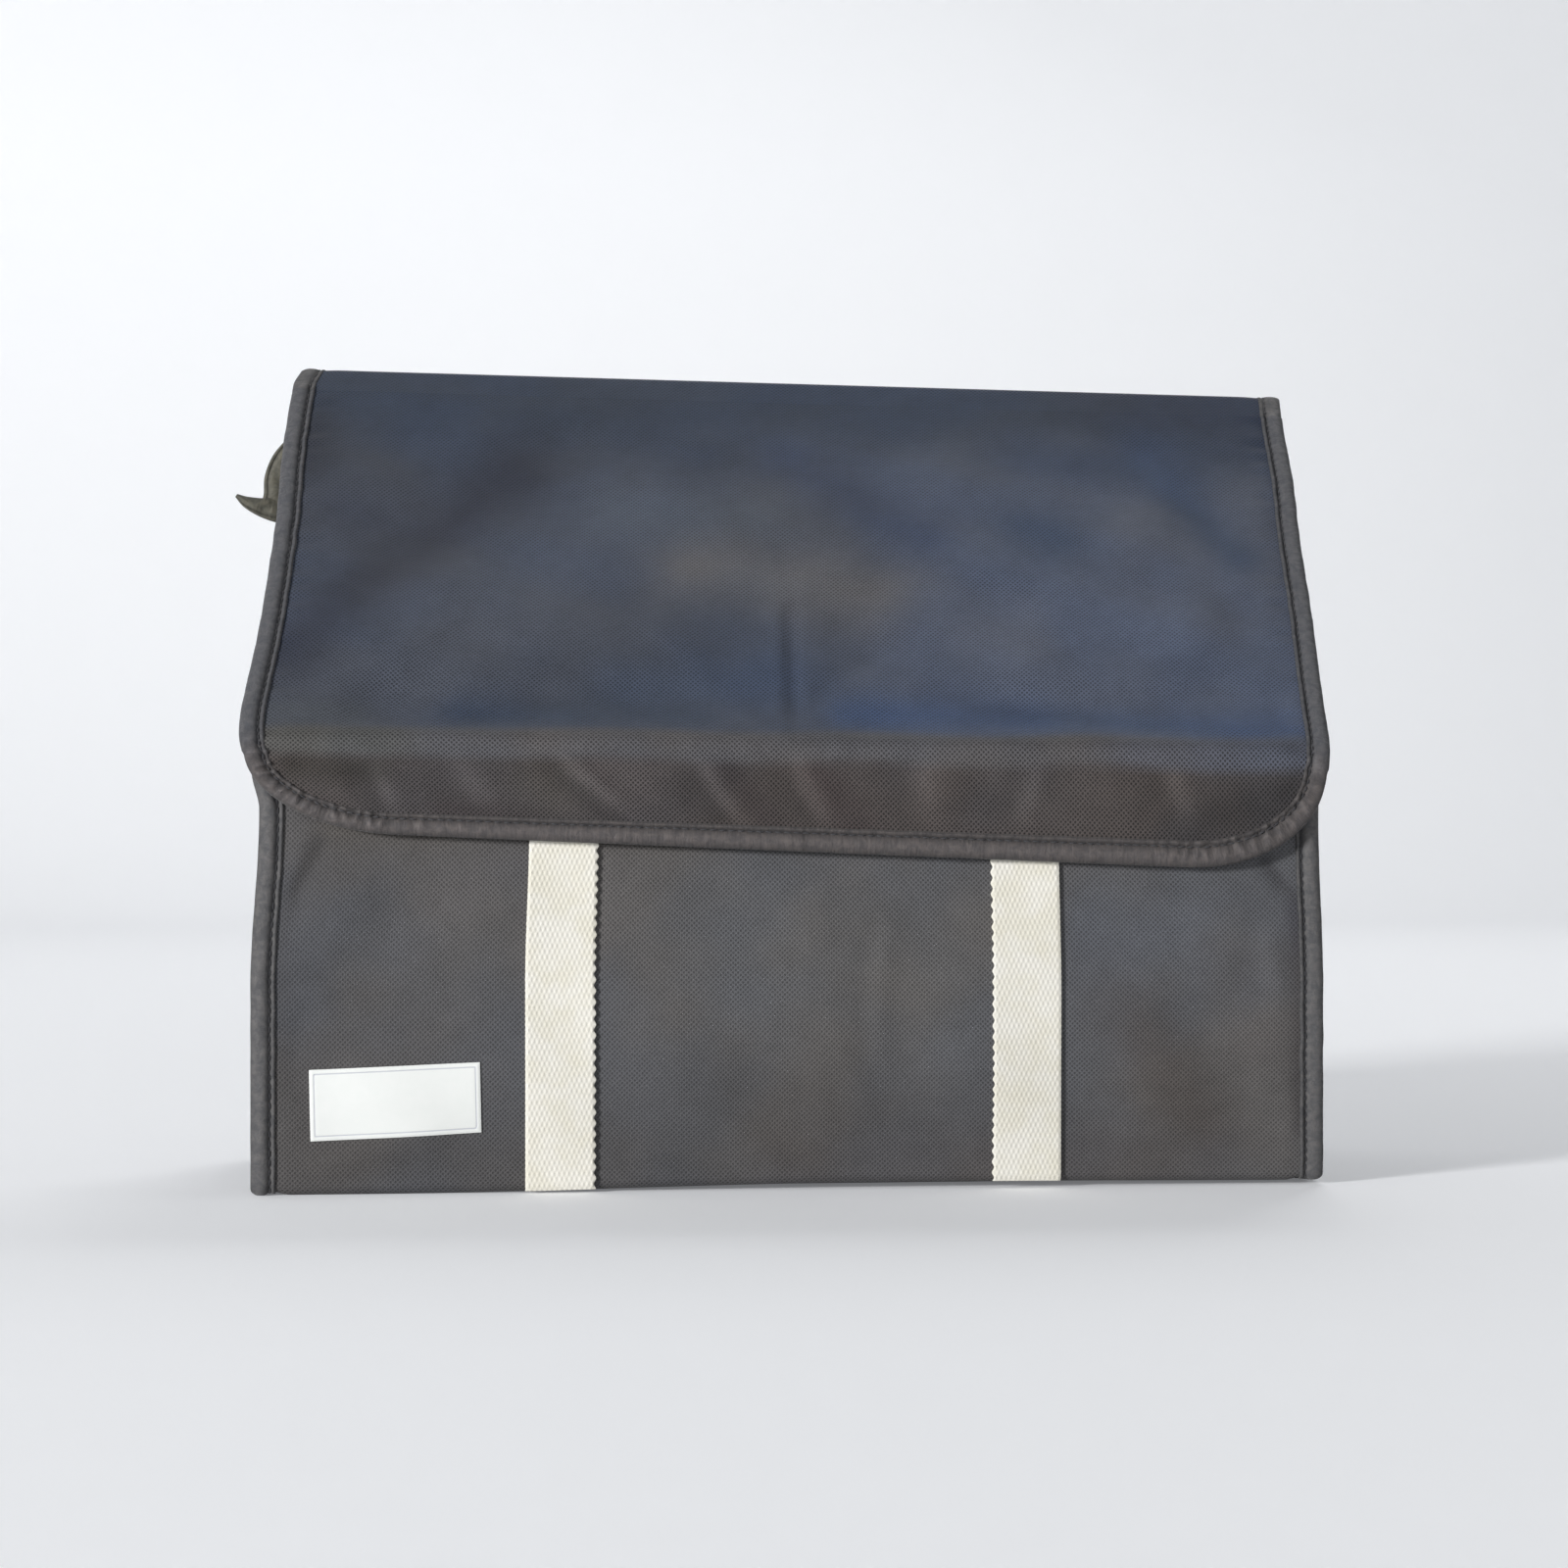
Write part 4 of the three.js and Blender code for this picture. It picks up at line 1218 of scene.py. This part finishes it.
def add_webbing(name, section, start, end, row, face_columns, under_columns, carrier, *nodes):
    """Webbing from distance start to end along its length. section(p, c, h) gives a point of it."""
    under = under_columns[-2:0:-1]
    face = np.repeat([1.0, -1.0], [len(face_columns), len(under)])
    p, c = layer_grid(np.append(np.arange(start, end, row), end), np.concatenate([face_columns, under]))
    edge = c / half_width
    picot = 0.4 * (np.cos(2 * math.pi * p / scallop) - 0.4) * smooth(edge, 0.90, 1.0)
    selvedge = 0.05 * np.cos(2 * math.pi * p / knot_along) * smooth(-edge, 0.92, 1.0)
    flat_edge = smooth(np.abs(c), half_width - 1.0, half_width)
    knots = 0.17 * weave(p, c) * (1 - flat_edge) - 0.3 * flat_edge
    points = section(p, c + picot - selvedge, face * (strap_thickness / 2 + knots))
    # Painted highlight on the raised knots and just inside the edges, painted shade along the outermost
    # edges.
    webbing_painted_light = 0.96 + 0.06 * weave(p, c) + 0.03 * hump(np.abs(edge), 0.94, 0.03)
    webbing_painted_light = webbing_painted_light - 0.06 * smooth(np.abs(edge), 0.97, 1.0)
    made = loft(name, points, webbing, flat_cloth(c + 40 * (face < 0), p), webbing_painted_light[..., None] * np.ones(3))
    declare_sheet(strap_width, end - start)
    dress(made, "webbing", carrier, *nodes)


def strap_path(p, c, strap_run, bend_radius, bend_angle, cut):
    """Up a strap, round its bend and along half the handle, and the same back down the other strap.

    It gives the distance up the strap, the turn in the bend, the place across and the reach of the handle,
    which starts at a distance cut along its own U. c is towards the inside of the U.
    """
    handle_start = strap_run + bend_radius * bend_angle
    length = 2 * (handle_start - cut) + handle_length
    mirrored = p > length / 2
    q = np.where(mirrored, length - p, p)
    along = np.clip(p - handle_start, 0, handle_length - 2 * cut) + cut
    turn = np.clip((along - handle_leg) / handle_arc, 0, math.pi)
    radius = handle_arc - c
    past = np.clip(along - handle_leg - handle_bow, 0, None)
    reach = np.minimum(along, handle_leg) + radius * np.sin(turn) - past
    on_handle = q > handle_start
    x = np.where(on_handle, -radius * np.cos(turn), np.where(mirrored, 1, -1) * (strap_x - c))
    bend = np.clip((q - strap_run) / bend_radius, 0, bend_angle)
    return np.clip(q, 0, strap_run), bend, x, np.where(on_handle, reach - cut, 0.0)


def tuck(z):
    """The straps' ends dip into the bottom seam."""
    return -0.9 * np.exp(-((z / 1.6) ** 2))


def add_front_webbing():
    """Two straps and the handle in one run. The handle lies back under the lid."""
    radius = 4.0
    angle = math.pi / 2 - slope
    cut = radius * math.tan(angle / 2)
    strap_run = grip_z - cut
    length = 2 * (strap_run + radius * angle - cut) + handle_length

    def section(p, c, h):
        up, turn, x, run = strap_path(p, c, strap_run, radius, angle, cut)
        out_y, out_z = -np.cos(turn), np.sin(turn)
        y = grip_y + radius * (1 - np.cos(turn)) + run * slope_cos
        z = up + radius * np.sin(turn) + run * slope_sin + strap_lift
        on_panel = wrap_relief(x, rim_z - np.clip(z, bottom_radius, rim_z)) * (1 - smooth(z, 146, 150))
        lie = on_panel - 0.62 * (1 - smooth(z, 144.5, 149.5))
        sink = np.minimum(lid_relief(x, (y - corner_y) / slope_cos), 0.0)
        buckle = -0.5 - 0.3 * (1 + wander(p, 26, 51)) * smooth(run, 20, 60) * smooth(c, -3, 12)
        lift = h + lie + tuck(z) + (sink + buckle) * smooth(run, 1, 12)
        return settle_body(x, y + out_y * lift, z + out_z * lift)

    add_webbing("front_webbing", section, 0, length, scallop / 8,
                webbing_columns(knot_across / 4), webbing_columns(knot_across),
                "grip", "front_strap_left", "front_strap_right", "front_handle")


def add_back_webbing():
    """Two straps up to the fold at the grip's joint, and the handle that hangs from it."""
    radius = (back_grip_y - back_y) / 2
    strap_mid = strap_thickness / 2 + strap_gap
    arc = math.pi * radius
    length = 2 * (back_grip_z + arc) + handle_length

    def section(p, c, h):
        up, turn, x, down = strap_path(p, c, back_grip_z, radius, math.pi, 0.0)
        out_y, out_z = np.cos(turn), np.sin(turn)
        relief = np.maximum(back_relief(x, np.clip(up, 4, 300)), -0.2) * (1 - smooth(up, 215, 250))
        z = up - down + radius * np.sin(turn) + strap_lift
        y = back_y + strap_mid + radius * (1 - np.cos(turn)) + relief
        sway = (1.3 * smooth(down, 10, 120) + 0.3 * wander(p, 30, 52) * smooth(c, -3, 12)) * (down > 0)
        lift = h + tuck(z) * (up < back_grip_z)
        return settle_body(x, y + sway + out_y * lift, z + out_z * lift)

    crest = back_grip_z + arc / 2
    overlap = 0.3
    columns = webbing_columns(knot_across / 2)
    for part, start, end, node, body in (
            ("left", 0, crest + overlap, "back_strap_left", "bag"),
            ("handle", crest, length - crest, "back_handle", "back_grip"),
            ("right", length - crest - overlap, length, "back_strap_right", "bag")):
        add_webbing(f"back_webbing_{part}", section, start, end, scallop / 7, columns, columns, body, node)


# Small pieces
def add_label():
    """The blank label patch, a little crooked, with a pressed border."""
    width, height, thickness = 61.5, 25.6, 0.6
    tilt = math.radians(2.5)
    shear = 0.5
    border = 1.7
    b, a = layer_grid(steps(-height / 2, height / 2, 0.45), steps(-width / 2, width / 2, 0.6))
    middle_x, middle_z = ((low("label_patch", axis) + high("label_patch", axis)) / 2 for axis in (X, Z))
    x = middle_x + a * math.cos(tilt) - shear * b * math.sin(tilt)
    z = middle_z + a * math.sin(tilt) + b * math.cos(tilt)
    inset = np.minimum(width / 2 - np.abs(a), height / 2 - np.abs(b))
    top = thickness + 0.15 - 0.28 * np.exp(-inset / 0.35) - 0.09 * hump(inset, border, 0.25)
    made = slab("label", wrap(x, rim_z - z, top), wrap(x, rim_z - z, 0.05), flat_cloth(a, b, inset),
                label_cloth)
    declare_sheet(width, height)
    dress(made, "label", "bag", "label_patch")


def add_board():
    """The loose stiffening board, with rounded corners and slightly worn edges."""
    bottom, top = low("base_board", Z), high("base_board", Z)
    radius = 9.0
    corners = np.repeat([(1, 1), (-1, 1), (-1, -1), (1, -1)], 10, axis=0)
    turn = np.add.outer(np.arange(4) * math.pi / 2, np.linspace(0, math.pi / 2, 10)).reshape(-1, 1)
    middles = corners * (high("base_board", X) - radius, high("base_board", Y) - radius)
    rings = []
    for inset, z in ((0.5, bottom), (0.1, bottom + 0.25), (0.0, bottom + 0.6),
                     (0.0, top - 0.6), (0.15, top - 0.2), (0.6, top)):
        ring = middles + (radius - inset) * np.hstack([np.cos(turn), np.sin(turn)])
        rings.append(np.column_stack([ring, np.full(len(ring), z)]))
    dress(loft("stiffening_board", np.array(rings), board_skin), "board", "bag", "base_board")


def add_closure():
    """Loop tape on the front panel and hook tape inside the lip."""
    half = high("loop_tape", X)
    bottom, top = low("loop_tape", Z), high("loop_tape", Z)
    z, x = layer_grid(steps(bottom, top, 0.5), steps(-half, half, 0.6))
    edge = np.minimum(half - np.abs(x), np.minimum(z - bottom, top - z))
    pile = (0.75 + 0.12 * ripple(x, z, 2.2, 55) + 0.1 * ripple(x, z, 1.3, 56)) * smooth(edge, 0, 1.2)
    loops = slab("loop_tape_pile", wrap(x, rim_z - z, 0.4 + pile), wrap(x, rim_z - z, 0.05),
                 flat_cloth(x, z), closure_cloth)
    declare_sheet(2 * half, top - bottom)
    dress(loops, "closure", "bag", "loop_tape")

    hook_thickness = 1.05
    t_low = -lip_length + (low("hook_tape", Z) - lip_low_z)
    t, x = layer_grid(steps(t_low, t_low + top - bottom, 1.0), steps(-half, half, 1.5))
    hooks = slab("hook_tape_strip", lid(x, t, 0.0, 1.0), lid(x, t, -hook_thickness, 1.0),
                 flat_cloth(x, t), closure_cloth)
    declare_sheet(2 * half, top - bottom)
    dress(hooks, "closure", "lip", "hook_tape")


def add_leaf(name, path, width, bulge, seed):
    """A curled double ply of tape along a path, with a stitched groove near its upper edge."""
    count, columns = 44, 17
    line = curve(path, count)
    wide = curve([(w,) for w in width], count)
    run = unit(np.gradient(line, axis=0))
    across = unit(np.stack([-run[:, 2], np.zeros(count), run[:, 0]], 1))
    v = np.concatenate([np.linspace(-1, 1, columns), [1.03], np.linspace(1, -1, columns), [-1.03]])
    behind = np.repeat([0, 0.5, 1, 0.5], [columns, 1, columns, 1])
    u, v = layer_grid(np.linspace(0, 1, count), v)
    face = bulge * (1 - v**2) + 0.35 * hump(v, 0.86, 0.12) - 0.45 * hump(v, 0.6, 0.1)
    face = (face + 0.15 * ripple(u * 25, v * 4, 6, seed)) * np.minimum(1, wide / 4)
    rings = line[:, None, :] + across[:, None, :] * (v * wide / 2)[..., None]
    rings[..., 1] += -face + behind * (1.5 - 0.5 * u)
    # Painted shade in the stitched groove and towards both edges, over a yellower colour.
    shade = (1 - 0.45 * hump(v, 0.6, 0.12)) * (1 - 0.25 * np.abs(v) ** 6)
    tint = shade[..., None] * np.array((1.10, 1.08, 0.82))
    made = loft(name, rings, tape_cloth, flat_cloth(u * 30, v * 4 + 14 * behind), tint)
    pace = np.linalg.norm(np.diff(line, axis=0), axis=1)
    area = (pace * (wide[1:, 0] + wide[:-1, 0]) / 2).sum()
    declare_sheet(wide.max(), pace.sum(), area)
    dress(made, "binding", "bag")


def add_ear():
    """The left rim tape's loose end: a ply that stands up and a horn that curls out sideways."""
    foot = (low("left_rim_binding", X) + 38, back_y - 32, 249.0)
    horn = [(6, 2.5, 7.8), (0, 1.5, 7.5), (-7, 0.5, 7.2), (-13, -1, 7.2), (-19, -2, 8.0), (-25, -2.5, 10.0),
            (-29.2, -3, 12.6)]
    ply = [(-10.5, 0, 5), (-13.5, -0.5, 9), (-14.2, -1, 14), (-14.2, -1.5, 20), (-11.6, -1.5, 27),
           (-7.1, -1, 34)]
    add_leaf("left_rim_horn", np.add(horn, foot), (9.2, 10, 10.6, 9.8, 7.4, 4.6, 1.4), 1.6, 57)
    add_leaf("left_rim_ply", np.add(ply, foot), (6, 11, 8.8, 8.0, 7.4, 5.4), 1.2, 58)


# The stage, in metres
def add_stage():
    """A pale floor that sweeps up into a backdrop behind the bag."""
    half, front, back, top, radius = 5.0, -4.0, 2.2, 5.0, 0.9
    bend = [(back + radius * math.sin(a), radius - radius * math.cos(a))
            for a in np.linspace(0, math.pi / 2, 16)]
    profile = [(front, 0.0)] + bend + [(back + radius, top)]
    mesh = bpy.data.meshes.new("backdrop")
    faces = [(2 * i, 2 * i + 1, 2 * i + 3, 2 * i + 2) for i in range(len(profile) - 1)]
    mesh.from_pydata([(x, y, z) for y, z in profile for x in (-half, half)], [], faces)
    mesh.polygons.foreach_set("use_smooth", np.ones(len(mesh.polygons), bool))
    backdrop = bpy.data.objects.new("backdrop", mesh)
    bpy.context.scene.collection.objects.link(backdrop)
    paint = Paint("pale_paper", Specular_IOR_Level=0.2)
    grain = paint.noise(40.0, vector=paint.node("ShaderNodeTexCoord", "Object", {}))
    colour = paint.blend(grain, srgb(238, 239, 241), srgb(242, 243, 245))
    seen = paint.node("ShaderNodeLightPath", "Is Camera Ray", {})
    paint.put(paint.shader.inputs["Emission Color"], (0.93, 0.95, 1.0, 1.0))
    paint.put(paint.shader.inputs["Emission Strength"], seen * 0.16)
    mesh.materials.append(paint.finish(colour, 0.85))


def add_lamp(name, place, width, height, power):
    data = bpy.data.lights.new(name, "AREA")
    data.shape = "RECTANGLE"
    data.size = width
    data.size_y = height
    data.energy = power
    lamp = bpy.data.objects.new(name, data)
    lamp.location = place
    lamp.rotation_euler = (Vector((0, 0, 0.15)) - Vector(place)).to_track_quat("-Z", "Y").to_euler()
    lamp.visible_camera = False
    bpy.context.scene.collection.objects.link(lamp)


def add_lights():
    add_lamp("key", (-3.7, -2.7, 1.0), 0.8, 0.7, 258)
    add_lamp("front_fill", (0.9, -2.9, 0.5), 1.6, 1.0, 13)
    add_lamp("right_fill", (2.3, -0.2, 0.9), 1.0, 1.0, 7)
    add_lamp("left_fill", (-2.1, 1.3, 0.9), 1.0, 1.0, 5)
    add_lamp("back_fill", (0.7, 1.9, 2.2), 1.2, 1.2, 20)
    world = bpy.data.worlds.new("studio")
    world.use_nodes = True
    bpy.context.scene.world = world
    nodes = world.node_tree.nodes
    sky = nodes["Background"]
    sky.inputs["Color"].default_value = (0.92, 0.96, 1.0, 1)
    seen = nodes.new("ShaderNodeLightPath").outputs["Is Camera Ray"]
    strength = nodes.new("ShaderNodeMapRange")
    world.node_tree.links.new(seen, strength.inputs["Value"])
    strength.inputs["To Min"].default_value = 0.13
    strength.inputs["To Max"].default_value = 0.78
    world.node_tree.links.new(strength.outputs[0], sky.inputs["Strength"])


def add_camera():
    """At the photograph's place: level with the bag's middle, a little to its left."""
    data = bpy.data.cameras.new("camera")
    data.sensor_width = 36.0
    data.lens = 83.43
    camera = bpy.data.objects.new("camera", data)
    camera.location = (-0.132, -1.398, 0.1542)
    camera.rotation_euler = Vector((0.0960, 0.9954, -0.0037)).to_track_quat("-Z", "Y").to_euler()
    bpy.context.scene.collection.objects.link(camera)
    bpy.context.scene.camera = camera


add_camera()
add_lights()
add_stage()
add_wrap()
add_gusset("left", -1)
add_gusset("right", 1)
add_lid()
add_roll()
add_lid_binding()
add_side_binding("left", -1)
add_side_binding("right", 1)
add_rim_bindings()
add_front_webbing()
add_back_webbing()
add_label()
add_board()
add_closure()
add_ear()

bpy.context.scene.view_settings.view_transform = "Standard"
